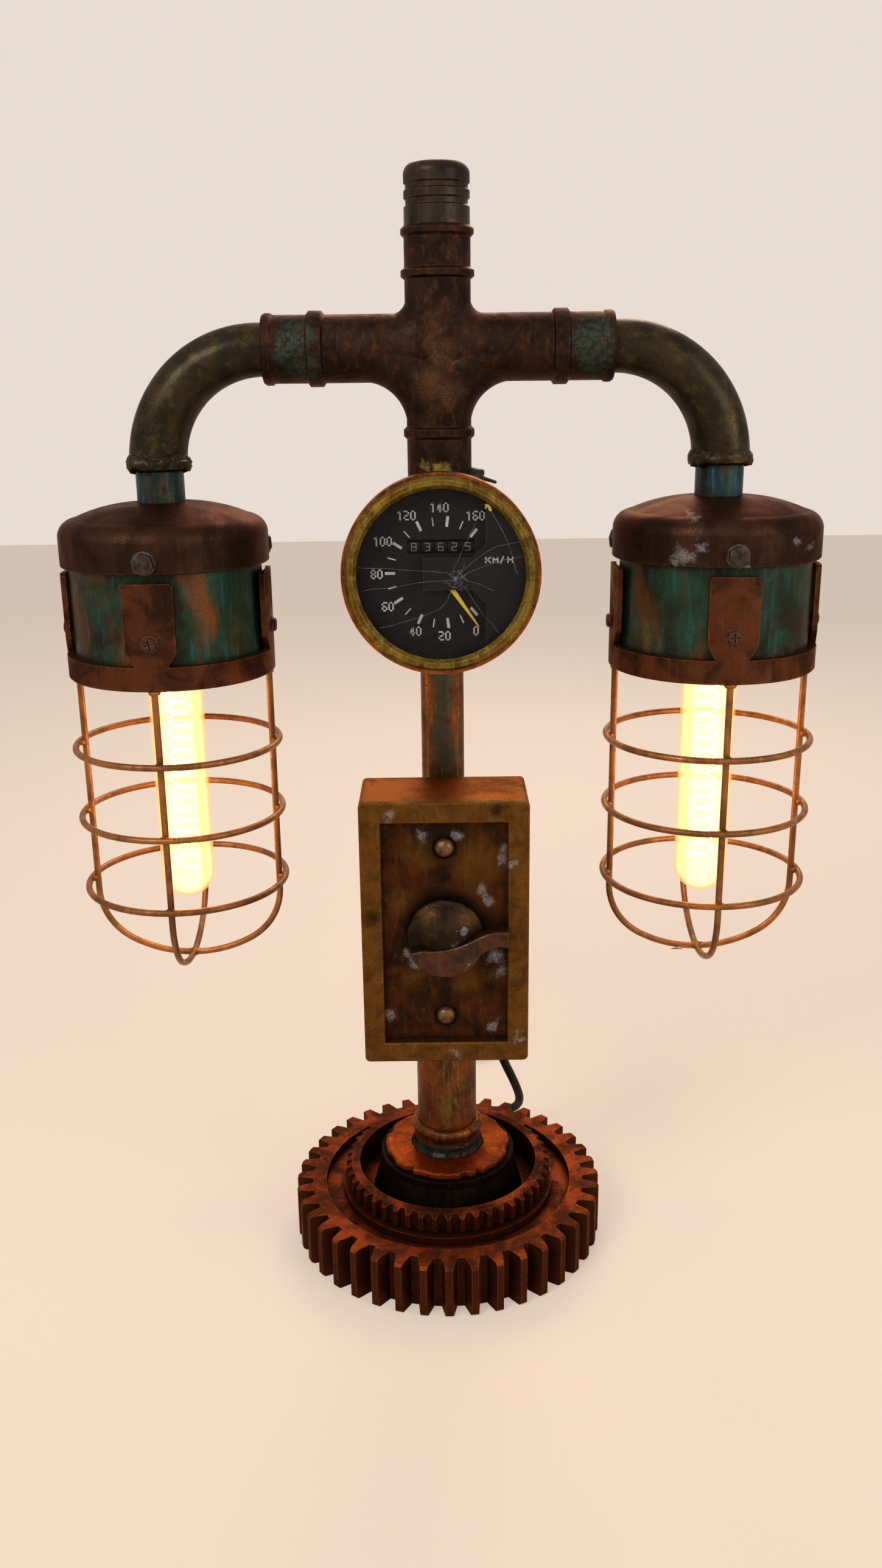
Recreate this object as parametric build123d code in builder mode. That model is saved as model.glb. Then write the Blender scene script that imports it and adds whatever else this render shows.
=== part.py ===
from build123d import *
import os
from math import asin, cos, degrees, pi, radians, sin, sqrt, tan

# Industrial pipe table lamp. Millimetres, X to the lamp's right, Y to its back, Z up.
# The origin is on the table, on the axis of the gear that serves as the base.

os.makedirs("parts", exist_ok=True)

# ---------------------------------------------------------------- fits
slip_fit = 0.05  # radial clearance of a pipe or pin in its socket
running_fit = 0.08  # radial clearance of a turning spindle
loose_fit = 0.4  # clearance of a hole round a shaft that doesn't bear in it
body_gap = 0.4  # gap between faces that move past each other
edge_break = 0.6  # chamfer that takes the sharpness off an edge
bead_chamfer = 1.5  # slope on the edges of cast beads and collars
cut_margin = 0.1  # how far a cutting or joining shape runs into its neighbour

# ---------------------------------------------------------------- gear base
gear_module = 4.75
gear_teeth = 40
gear_height = 34.5
gear_tip_chamfer = 1.6
gear_recess_diameter = 161.0
gear_top_recess = 7.0
gear_bottom_recess = 8.0
gear_boss_diameter = 66.0
gear_bore_diameter = 46.0
tooth_tip_share = 0.27  # share of the pitch taken by the flat of a tooth's tip
tooth_root_share = 0.68  # share of the pitch taken by a tooth at its root
tooth_sink = 1.0  # how far a tooth's foot reaches into its wheel

dog_teeth = 48
dog_tip_diameter = 134.0
dog_root_diameter = 127.0
dog_bore_diameter = 116.0
dog_shoulder_diameter = 138.0
dog_shoulder_height = 6.0
dog_groove_height = 3.0
dog_groove_depth = 2.5
dog_ring_height = 20.0
dog_tooth_slope = 2.0

hub_base_diameter = 98.0
hub_rim_diameter = 87.0
hub_height = 28.0
hub_rim_height = 5.5
hub_rim_step = 1.0
hub_spigot_depth = 12.0
hub_plate_diameter = 82.0
hub_plate_thickness = 4.5
plate_scallops = 26
plate_scallop_radius = 5.0
plate_scallop_bite = 0.7

# ---------------------------------------------------------------- posts
lower_post_diameter = 38.0
lower_post_wall = 3.2
lower_post_length = 130.0
foot_collar_diameter = 41.5
foot_collar_height = 18.0
foot_bead_diameter = 45.0
foot_bead_height = 7.0
foot_weld_size = 5.0
upper_post_diameter = 25.4
upper_post_wall = 2.6
reducer_spigot = 16.0
reducer_shoulder = 8.0
reducer_taper = 6.0
reducer_top_diameter = 31.0

# ---------------------------------------------------------------- cross fitting and arms
arm_height = 556.0
branch_diameter = 36.0
branch_bore_diameter = 24.0
neck_length = 99.0
neck_socket_depth = 18.0
neck_bead_drop = 45.0  # below the arms' axis
neck_bead_length = 7.0
neck_bead_diameter = 39.5
crotch_radius = 24.0
shoulder_radius = 8.0
crotch_relief = 0.4
arm_length = 96.0
arm_bead_start = 62.0
arm_bead_length = 10.0
arm_bead_diameter = 40.0
arm_end_length = 6.0
arm_end_diameter = 38.0
top_branch_length = 62.0
top_bead_rise = 38.0  # above the arms' axis
top_bead_length = 6.0
top_bead_diameter = 40.0
top_lip_length = 6.0
top_lip_diameter = 39.5
top_cap_diameter = 35.5
top_cap_height = 31.0
top_cap_spigot = 16.0
top_cap_groove = 1.0
top_cap_grooves = ((9.0, 10.0, 12.5, 13.5), (17.0, 18.0, 20.0, 21.0))  # heights above the seat
top_cap_crown = 6.0

elbow_radius = 60.0
elbow_spigot = 12.0
elbow_gap = 2.0
elbow_start_diameter = 28.4
elbow_end_diameter = 32.6
elbow_bore_diameter = 21.0
elbow_tail = 4.0  # straight length below the bend
elbow_socket_depth = 5.0
elbow_bead_diameter = 36.0
elbow_bead_length = 7.0
drop_pipe_diameter = 26.9
drop_pipe_wall = 2.6

# ---------------------------------------------------------------- lamp heads
pipe_show = 17.0  # drop pipe seen between the elbow and the cap
head_cap_diameter = 118.0
head_cap_wall = 2.5
cap_crown_radius = 32.0  # where the dome starts to fall
cap_crown_fall = 2.0
cap_shoulder_radius = 50.0
cap_round_in = 2.2
cap_round_up = 5.2
drum_diameter = 109.0
drum_wall = 2.0
drum_inset = 1.0
guard_ring_height = 13.5
guard_ring_diameter = 119.0
guard_gap = 0.2
guard_edge = 1.0
guard_strap_width = 28.0
guard_strap_foot_width = 18.0
guard_strap_taper = 8.5
guard_strap_thickness = 3.0
guard_straps = 4
wire_diameter = 3.8
wire_circle_diameter = 112.0
cage_corner_radius = 38.0
cage_belly_radius = 75.0
cap_bolt_across_flats = 13.0
cap_bolt_head = 5.5
cap_bolt_diameter = 8.0
cap_bolt_reach = 5.0
cap_bolts_each = 3
strap_screw_diameter = 8.0
strap_screw_head = 2.2
strap_screw_shank = 4.0
holder_diameter = 40.0
holder_collar_diameter = 37.0
holder_cavity = 9.0
bulb_diameter = 32.0
bulb_wall = 0.9
bulb_shoulder_length = 8.0
bulb_taper_length = 12.0
bulb_neck_diameter = 25.0
bulb_neck_depth = 5.0
bulb_stem_diameter = 9.0
bulb_cap_diameter = 26.4
bulb_cap_height = 24.0
bulb_cap_taper = 4.0
bulb_contact_base = 10.0
bulb_contact_tip = 7.0
filament_wires = 6
filament_wire_diameter = 1.2
filament_circle_diameter = 11.0
filament_hub_height = 2.0

# drops below the crown of the head's cap
cap_shoulder_drop = 8.0
cap_skirt_top_drop = 17.0
cap_skirt_bottom_drop = 34.0
cap_bolt_drop = 27.5
drum_top_drop = 15.0
pipe_end_drop = 15.0
holder_collar_top_drop = 5.0
holder_top_drop = 17.0
holder_web_top_drop = 46.0
holder_web_bottom_drop = 49.0
holder_bottom_drop = 73.0
guard_strap_top_drop = 38.5
strap_screw_drop = 71.0
guard_bottom_drop = 97.5
hoop_drops = (140.4, 183.3, 227.4)
cage_bottom_drop = 278.0
bulb_glass_top_drop = 77.0
bulb_stem_drop = 91.0
bulb_bottom_drop = 239.0
filament_top_drop = 91.0
filament_bottom_drop = 223.0

# ---------------------------------------------------------------- switch box
box_width = 95.5
box_height = 159.5
box_depth = 50.0
box_bottom = 156.0
box_wall = 2.5
box_corner = 3.0
frame_border = 12.0
frame_thickness = 5.0
panel_thickness = 2.5
panel_play = 0.3
panel_screw_spacing = 104.0
panel_screw_diameter = 11.0
panel_screw_head = 2.8
panel_screw_shank = 5.0
screw_overhang = 3.0  # how far a screw's end shows behind its nut or tab
tab_width = 16.0
tab_thickness = 3.0
tab_margin = 7.0
knob_diameter = 44.0
knob_base_thickness = 5.6
knob_dome_height = 8.5
knob_edge = 0.8
knob_bevel = 2.0
knob_grip_height = 10.0
knob_grip_inset = 0.5
knob_grip_reach = 36.0
knob_grip_ledge = ((-13.9, -4.9), (4.5, -3.4), (17.6, 2.3), (25.0, 5.2))  # upper edge of the grip
knob_grip_tip = (5.8, -4.2)  # top and bottom of the grip's end
knob_grip_waist = (26.5, -4.3)
knob_grip_angles = (18.0, 24.0)  # where the grip meets the rim, below level, left and right
spindle_diameter = 6.0
spindle_length = 14.0
switch_size = 36.0
switch_depth = 20.0
switch_tab_length = 7.0
switch_tab_width = 6.0
switch_tab_thickness = 1.0
post_gap = 0.5  # between the box's back and the lower post
clamp_width = 53.0
clamp_height = 12.0
clamp_strap = 3.0
clamp_heights = (216.0, 291.0)
clamp_screw_spacing = 42.0
clamp_screw_diameter = 5.0
clamp_screw_head = 9.0
clamp_screw_head_height = 3.0
nipple_diameter = 10.0
nipple_bore = 8.0
nipple_nut_diameter = 15.0
nipple_nut_thickness = 2.5
nipple_overhang = 2.0
nipple_inset = 0.5

# ---------------------------------------------------------------- gauge
gauge_neck_gap = 10.0  # from the cross fitting's neck down to the gauge's clamp
gauge_front = 66.0
gauge_standoff = 6.8
gauge_can_diameter = 106.5
gauge_can_wall = 1.6
gauge_can_rim = 12.0
gauge_can_step = 5.25  # from the rim in to the body
gauge_can_corner = 3.0
gauge_rim_setback = 2.5
bezel_play = 0.15
bezel_face = 6.5
bezel_wall = 4.5
bezel_bevel = 2.0
bezel_length = 13.0
bezel_lip = 3.5
glass_play = 0.15
glass_thickness = 2.0
dial_thickness = 1.5
dial_window_width = 36.0
dial_window_height = 7.4
odometer_rise = 14.0
odometer_digits = 5
drum_radius = 6.5
odometer_drum_width = 6.8
odometer_pitch = 7.2
odometer_axle_diameter = 2.0
movement_width = 44.0
movement_top = 26.0
movement_drop = 16.0
movement_frame_thickness = 3.0
movement_play = 0.2
movement_axle_inset = 4.0
needle_tip_gap = 9.0  # from the needle's tip to the bezel's opening
needle_point = 3.0
needle_tail = 8.0
needle_width = 2.0
needle_tip_width = 0.9
needle_thickness = 0.8
needle_hub_diameter = 7.0
needle_spindle_diameter = 2.0
needle_spindle_length = 10.0
needle_rest_angle = 145.0  # clockwise from the top of the dial
bridge_width = 26.0
bridge_height = 17.0
bridge_thickness = 1.0
bridge_rise = 5.2
bridge_overhang = 9.5
bridge_block_start = 24.0
bridge_block_margin = 1.5
bridge_flare = 7.5
gauge_clamp_thickness = 3.0
gauge_clamp_height = 14.0
gauge_clamp_ear = 9.0
gauge_clamp_slot = 2.0
gauge_clamp_bolt = 4.0
gauge_clamp_bolt_head = 7.0
gauge_clamp_head_height = 3.0

# ---------------------------------------------------------------- toggle switch on the neck
toggle_rise = 30.0  # above the neck's lower end
toggle_droop = 6.0  # degrees that the bushing points below level
toggle_bushing_diameter = 6.4
toggle_boss_diameter = 10.5
toggle_boss_tip_diameter = 8.4
toggle_boss_length = 7.0
toggle_spotface_depth = 1.0
toggle_body_width = 9.0
toggle_body_height = 11.0
toggle_body_depth = 5.0
toggle_ball_diameter = 4.86
toggle_throat_diameter = 5.0
toggle_pivot_depth = 3.0
toggle_floor = 0.5
toggle_lead_gap = 1.4
lever_root_diameter = 2.6
lever_tip_diameter = 1.8
lever_length = 10.0
lever_rest_angle = 18.0  # degrees below level
wire_lead_diameter = 3.5
wire_lead_offset = 2.2
lead_tail = 12.0
lead_end_gap = 1.0
lead_bend_radius = 8.0
lead_arm_bend_radius = 20.0

# ---------------------------------------------------------------- supply cord
cord_diameter = 6.2
cord_float = 0.2
bend_share = 0.45  # share of the shorter run that a bend takes up
gland_x = 28.0
gland_z = 175.0
gland_flange_diameter = 18.0
gland_flange_thickness = 5.0
gland_nose_diameter = 13.0
gland_tip_diameter = 8.5
gland_nose_length = 8.5
gland_shank_diameter = 12.0
gland_tail = 4.0
coil_outer_turn_radius = 42.5
coil_inner_turn_radius = 20.8
coil_lead_length = 28.0
plug_width = 35.3
plug_thickness = 13.7
plug_length = 24.0
plug_relief_length = 18.0
plug_relief_diameter = 10.0
plug_pin_diameter = 4.0
plug_pin_length = 19.0
plug_pin_spacing = 18.6
plug_nose_taper = 10.0
plug_nose_thinner = 1.0
plug_nose_corner = 4.0
plug_corner = 5.0
plug_relief_wall = 0.8

# ---------------------------------------------------------------- derived places
cord_rest = cord_diameter / 2 + cord_float
gear_floor = gear_height - gear_top_recess
hub_top = gear_floor + hub_height
post_foot = hub_top + hub_plate_thickness
lower_post_top = post_foot + lower_post_length
lower_post_bore = lower_post_diameter - 2 * lower_post_wall
upper_post_foot = lower_post_top - reducer_spigot
neck_bottom = arm_height - neck_length
upper_post_top = neck_bottom + neck_socket_depth
head_x = arm_length + elbow_gap + elbow_radius
elbow_mouth = arm_height - elbow_radius - elbow_tail
cap_crown_height = elbow_mouth - pipe_show
cap_shoulder_height = cap_crown_height - cap_shoulder_drop
cap_skirt_top = cap_crown_height - cap_skirt_top_drop
cap_skirt_bottom = cap_crown_height - cap_skirt_bottom_drop
cap_bolt_height = cap_crown_height - cap_bolt_drop
drum_top = cap_crown_height - drum_top_drop
pipe_end = cap_crown_height - pipe_end_drop
holder_collar_top = cap_crown_height - holder_collar_top_drop
holder_top = cap_crown_height - holder_top_drop
holder_web_top = cap_crown_height - holder_web_top_drop
holder_web_bottom = cap_crown_height - holder_web_bottom_drop
holder_bottom = cap_crown_height - holder_bottom_drop
guard_strap_top = cap_crown_height - guard_strap_top_drop
strap_screw_height = cap_crown_height - strap_screw_drop
guard_bottom = cap_crown_height - guard_bottom_drop
cage_bottom = cap_crown_height - cage_bottom_drop
bulb_glass_top = cap_crown_height - bulb_glass_top_drop
bulb_stem_bottom = cap_crown_height - bulb_stem_drop
bulb_bottom = cap_crown_height - bulb_bottom_drop
filament_top = cap_crown_height - filament_top_drop
filament_bottom = cap_crown_height - filament_bottom_drop
neck_bead_height = arm_height - neck_bead_drop
top_bead_height = arm_height + top_bead_rise
toggle_height = neck_bottom + toggle_rise
gauge_height = neck_bottom - gauge_neck_gap - gauge_clamp_height / 2
bezel_diameter = gauge_can_diameter - 2 * (gauge_can_wall + bezel_play)
bezel_opening = bezel_diameter - 2 * bezel_face
glass_diameter = bezel_diameter - 2 * bezel_wall
gauge_can_body_diameter = gauge_can_diameter - 2 * gauge_can_step
needle_length = bezel_opening / 2 - needle_tip_gap
box_back = lower_post_diameter / 2 + post_gap
box_front = box_back + box_depth
box_centre = box_bottom + box_height / 2
panel_front = box_front - frame_thickness
switch_face = panel_front - panel_thickness


def upright_pipe(diameter, wall, bottom, top, x=0.0):
    """A round pipe standing upright from one height to another."""
    with BuildPart() as pipe:
        with BuildSketch(Plane.XY.offset(bottom)):
            with Locations((x, 0)):
                Circle(diameter / 2)
                Circle(diameter / 2 - wall, mode=Mode.SUBTRACT)
        extrude(amount=top - bottom)
    return pipe


def tooth_outline(root_radius, tip_radius, teeth, tip_share, root_share):
    """Corner points of one straight-sided tooth that points along +X."""
    pitch_angle = 2 * pi / teeth
    tip_half = tip_radius * sin(pitch_angle * tip_share / 2)
    root_half = root_radius * sin(pitch_angle * root_share / 2)
    sunk = root_radius - tooth_sink
    return ((sunk, -root_half), (root_radius, -root_half), (tip_radius, -tip_half),
            (tip_radius, tip_half), (root_radius, root_half), (sunk, root_half))


# ================================================================ gear base
gear_tip_radius = gear_module * (gear_teeth + 2) / 2
gear_root_radius = gear_module * (gear_teeth - 2.5) / 2

with BuildPart() as base_gear:
    with BuildSketch():
        Circle(gear_root_radius)
        with PolarLocations(0, gear_teeth):
            Polygon(*tooth_outline(gear_root_radius, gear_tip_radius, gear_teeth,
                                   tooth_tip_share, tooth_root_share), align=None)
    extrude(amount=gear_height)
    with BuildSketch(Plane.XZ):  # the turned blank that the teeth are cut from
        Polygon((0, 0), (gear_tip_radius - gear_tip_chamfer, 0),
                (gear_tip_radius + cut_margin, gear_tip_chamfer),
                (gear_tip_radius + cut_margin, gear_height - gear_tip_chamfer),
                (gear_tip_radius - gear_tip_chamfer, gear_height), (0, gear_height), align=None)
    revolve(axis=Axis.Z, mode=Mode.INTERSECT)
    with BuildSketch(Plane.XY.offset(gear_floor)):
        Circle(gear_recess_diameter / 2)
    extrude(amount=gear_top_recess, mode=Mode.SUBTRACT)
    with BuildSketch():
        Circle(gear_recess_diameter / 2)
        Circle(gear_boss_diameter / 2, mode=Mode.SUBTRACT)
    extrude(amount=gear_bottom_recess, mode=Mode.SUBTRACT)
    with BuildSketch():
        Circle(gear_bore_diameter / 2)
    extrude(amount=gear_height, mode=Mode.SUBTRACT)

dog_tooth_bottom = gear_floor + dog_shoulder_height + dog_groove_height
dog_top = gear_floor + dog_ring_height
with BuildPart() as dog_ring:
    with BuildSketch(Plane.XY.offset(dog_tooth_bottom)):
        Circle(dog_root_diameter / 2)
        with PolarLocations(0, dog_teeth):
            Polygon(*tooth_outline(dog_root_diameter / 2, dog_tip_diameter / 2, dog_teeth,
                                   tooth_tip_share, tooth_root_share), align=None)
    extrude(amount=dog_top - dog_tooth_bottom)
    with BuildSketch(Plane.XZ):  # the teeth are backed off towards the top
        Polygon((0, dog_tooth_bottom), (dog_tip_diameter / 2 + cut_margin, dog_tooth_bottom),
                (dog_tip_diameter / 2 + cut_margin, dog_top - dog_tooth_slope),
                (dog_root_diameter / 2, dog_top), (0, dog_top), align=None)
    revolve(axis=Axis.Z, mode=Mode.INTERSECT)
    with BuildSketch(Plane.XZ):
        Polygon((0, gear_floor), (dog_shoulder_diameter / 2, gear_floor),
                (dog_shoulder_diameter / 2, gear_floor + dog_shoulder_height),
                (dog_root_diameter / 2 - dog_groove_depth, gear_floor + dog_shoulder_height),
                (dog_root_diameter / 2 - dog_groove_depth, dog_tooth_bottom),
                (0, dog_tooth_bottom), align=None)
    revolve(axis=Axis.Z)
    with BuildSketch(Plane.XY.offset(gear_floor)):
        Circle(dog_bore_diameter / 2)
    extrude(amount=dog_ring_height, mode=Mode.SUBTRACT)

with BuildPart() as hub_drum:
    with BuildSketch(Plane.XZ):
        rim_bottom = hub_top - hub_rim_height
        spigot_radius = gear_bore_diameter / 2 - slip_fit
        Polygon((0, gear_floor - hub_spigot_depth), (0, hub_top), (hub_rim_diameter / 2, hub_top),
                (hub_rim_diameter / 2, rim_bottom + bead_chamfer),
                (hub_rim_diameter / 2 - hub_rim_step, rim_bottom),
                (hub_base_diameter / 2, gear_floor), (spigot_radius, gear_floor),
                (spigot_radius, gear_floor - hub_spigot_depth), align=None)
    revolve(axis=Axis.Z)

with BuildPart() as hub_plate:  # torch-cut disc with a scalloped edge
    with BuildSketch(Plane.XY.offset(hub_top)):
        Circle(hub_plate_diameter / 2)
        with PolarLocations(hub_plate_diameter / 2 + plate_scallop_radius - plate_scallop_bite,
                            plate_scallops):
            Circle(plate_scallop_radius, mode=Mode.SUBTRACT)
    extrude(amount=hub_plate_thickness)

# ================================================================ posts
with BuildPart() as foot_collar:
    with BuildSketch(Plane.XZ):
        collar_top = post_foot + foot_collar_height
        bead_bottom = collar_top - foot_bead_height
        inner = lower_post_diameter / 2 + slip_fit
        Polygon((inner, post_foot), (foot_collar_diameter / 2 + foot_weld_size, post_foot),
                (foot_collar_diameter / 2, post_foot + foot_weld_size),
                (foot_collar_diameter / 2, bead_bottom),
                (foot_bead_diameter / 2, bead_bottom + bead_chamfer),
                (foot_bead_diameter / 2, collar_top - bead_chamfer),
                (foot_bead_diameter / 2 - bead_chamfer, collar_top), (inner, collar_top), align=None)
    revolve(axis=Axis.Z)

post_lower = upright_pipe(lower_post_diameter, lower_post_wall, post_foot, lower_post_top)
post_upper = upright_pipe(upper_post_diameter, upper_post_wall, upper_post_foot, upper_post_top)

with BuildPart() as post_reducer:  # bush from the lower pipe to the upper one
    with BuildSketch(Plane.XZ):
        shoulder_top = lower_post_top + reducer_shoulder
        bush_bore = upper_post_diameter / 2 + slip_fit
        Polygon((bush_bore, upper_post_foot), (lower_post_bore / 2 - slip_fit, upper_post_foot),
                (lower_post_bore / 2 - slip_fit, lower_post_top),
                (lower_post_diameter / 2, lower_post_top), (lower_post_diameter / 2, shoulder_top),
                (reducer_top_diameter / 2, shoulder_top + reducer_taper),
                (bush_bore, shoulder_top + reducer_taper), align=None)
    revolve(axis=Axis.Z)

with BuildPart() as wire_hole:  # where the box's wires enter the upper pipe
    with BuildSketch(Plane.XZ):
        with Locations((0, box_centre)):
            Circle(nipple_diameter / 2 + slip_fit)
    extrude(amount=upper_post_diameter)
post_upper.part = post_upper.part - wire_hole.part

# ================================================================ cross fitting
toggle_plane = Plane(
    origin=(branch_diameter / 2 * cos(radians(toggle_droop)), 0, toggle_height),
    x_dir=(0, 1, 0),
    z_dir=(cos(radians(toggle_droop)), 0, -sin(radians(toggle_droop))))

with BuildPart() as cross_fitting:
    branch_radius = branch_diameter / 2
    with BuildSketch(Plane.XZ):  # upright branches with their beads
        top_end = arm_height + top_branch_length
        Polygon((0, neck_bottom), (branch_radius, neck_bottom),
                (branch_radius, neck_bead_height - neck_bead_length / 2),
                (neck_bead_diameter / 2, neck_bead_height - neck_bead_length / 4),
                (neck_bead_diameter / 2, neck_bead_height + neck_bead_length / 4),
                (branch_radius, neck_bead_height + neck_bead_length / 2),
                (branch_radius, top_bead_height - top_bead_length / 2),
                (top_bead_diameter / 2, top_bead_height - top_bead_length / 4),
                (top_bead_diameter / 2, top_bead_height + top_bead_length / 4),
                (branch_radius, top_bead_height + top_bead_length / 2),
                (branch_radius, top_end - top_lip_length),
                (top_lip_diameter / 2, top_end - top_lip_length * 0.7),
                (top_lip_diameter / 2, top_end - top_lip_length * 0.3),
                (branch_radius, top_end), (0, top_end), align=None)
    revolve(axis=Axis.Z)
    arm_axis = Axis((0, 0, arm_height), (1, 0, 0))
    with BuildSketch(Plane.XZ):  # both arms with their beads and end bands
        band_start = arm_bead_start + arm_bead_length
        half = ((0, branch_radius), (arm_bead_start, branch_radius),
                (arm_bead_start + bead_chamfer, arm_bead_diameter / 2),
                (band_start - bead_chamfer, arm_bead_diameter / 2), (band_start, branch_radius),
                (arm_length - arm_end_length, branch_radius),
                (arm_length - arm_end_length + bead_chamfer, arm_end_diameter / 2),
                (arm_length - bead_chamfer, arm_end_diameter / 2), (arm_length, branch_radius),
                (arm_length, 0))
        with Locations((0, arm_height)):
            Polygon(*half, *[(-x, y) for x, y in reversed(half)], align=None)
    revolve(axis=arm_axis)
    for inner_radius, lift in ((crotch_radius, -1), (shoulder_radius, 1)):
        reach = inner_radius + branch_radius
        for side in (-1, 1):
            with BuildSketch(Plane.XY.offset(arm_height + lift * reach)):
                Circle(branch_radius - crotch_relief)
            revolve(axis=Axis((side * reach, 0, arm_height + lift * reach), (0, -side * lift, 0)),
                    revolution_arc=90)
    with BuildSketch(Plane.XY.offset(neck_bottom)):
        Circle(branch_bore_diameter / 2)
    extrude(amount=top_end - neck_bottom, mode=Mode.SUBTRACT)
    with BuildSketch(Plane.XY.offset(neck_bottom)):
        Circle(upper_post_diameter / 2 + slip_fit)
    extrude(amount=neck_socket_depth, mode=Mode.SUBTRACT)
    with BuildSketch(Plane.YZ.offset(-arm_length)):
        with Locations((0, arm_height)):
            Circle(elbow_bore_diameter / 2)
    extrude(amount=2 * arm_length, mode=Mode.SUBTRACT)
    for side in (-1, 1):
        with BuildSketch(Plane.YZ.offset(side * arm_length)):
            with Locations((0, arm_height)):
                Circle(elbow_start_diameter / 2 + slip_fit)
        extrude(amount=-side * elbow_spigot, mode=Mode.SUBTRACT)
    with BuildSketch(toggle_plane.offset(-toggle_spotface_depth)):
        Circle(toggle_boss_diameter / 2 + slip_fit)
    extrude(amount=toggle_boss_diameter, mode=Mode.SUBTRACT)
    with BuildSketch(toggle_plane):
        Circle(toggle_bushing_diameter / 2 + slip_fit)
    extrude(amount=-branch_radius, mode=Mode.SUBTRACT)

top_seat = arm_height + top_branch_length
with BuildPart() as top_cap:  # short closed nipple with worn thread grooves
    with BuildSketch(Plane.XZ):
        cap_radius = top_cap_diameter / 2
        groove = cap_radius - top_cap_groove
        crown = top_seat + top_cap_height
        spigot = branch_bore_diameter / 2 - slip_fit
        grooved = [(radius, top_seat + rise) for heights in top_cap_grooves
                   for radius, rise in zip((cap_radius, groove, groove, cap_radius), heights)]
        with BuildLine():
            Polyline((0, crown), (0, top_seat - top_cap_spigot), (spigot, top_seat - top_cap_spigot),
                     (spigot, top_seat), (cap_radius, top_seat), *grooved,
                     (cap_radius, crown - top_cap_crown))
            RadiusArc((cap_radius, crown - top_cap_crown), (cap_radius - top_cap_crown, crown),
                      -top_cap_crown)
            Line((cap_radius - top_cap_crown, crown), (0, crown))
        make_face()
    revolve(axis=Axis.Z)

# ================================================================ toggle switch
boss_seat = toggle_plane.offset(-toggle_spotface_depth)
mouth = toggle_boss_length + toggle_spotface_depth
pivot_plane = boss_seat.offset(mouth - toggle_pivot_depth)
lead_side = wire_lead_offset + wire_lead_diameter / 2
body_start = -(branch_radius - toggle_spotface_depth - lead_side - toggle_lead_gap)
with BuildPart() as toggle_switch:
    with BuildSketch(boss_seat):
        Circle(toggle_boss_diameter / 2)
    with BuildSketch(boss_seat.offset(mouth)):
        Circle(toggle_boss_tip_diameter / 2)
    loft()
    with BuildSketch(boss_seat):
        Circle(toggle_bushing_diameter / 2)
    extrude(amount=body_start)
    with BuildSketch(boss_seat.offset(body_start)):
        Rectangle(toggle_body_width, toggle_body_height)
    extrude(amount=toggle_body_depth)
    with BuildSketch(boss_seat.offset(mouth)):
        Circle(toggle_throat_diameter / 2)
    extrude(amount=-mouth + toggle_floor, mode=Mode.SUBTRACT)

lever_direction = (cos(radians(lever_rest_angle)), 0, -sin(radians(lever_rest_angle)))
with BuildPart() as toggle_lever:
    lever_plane = Plane(origin=pivot_plane.origin, x_dir=(0, 1, 0), z_dir=lever_direction)
    with Locations(pivot_plane.origin):
        Sphere(toggle_ball_diameter / 2)
    with BuildSketch(lever_plane):
        Circle(lever_root_diameter / 2)
    with BuildSketch(lever_plane.offset(lever_length)):
        Circle(lever_tip_diameter / 2)
    loft()
    with Locations(lever_plane.offset(lever_length).origin):
        Sphere(lever_tip_diameter / 2)

# ================================================================ arms and lamp heads
wire_radius = wire_diameter / 2
wire_circle = wire_circle_diameter / 2
hoop_circle = wire_circle + wire_diameter
guard_outer = guard_ring_diameter / 2
guard_inner = drum_diameter / 2 + guard_gap
guard_top = guard_bottom + guard_ring_height


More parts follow.
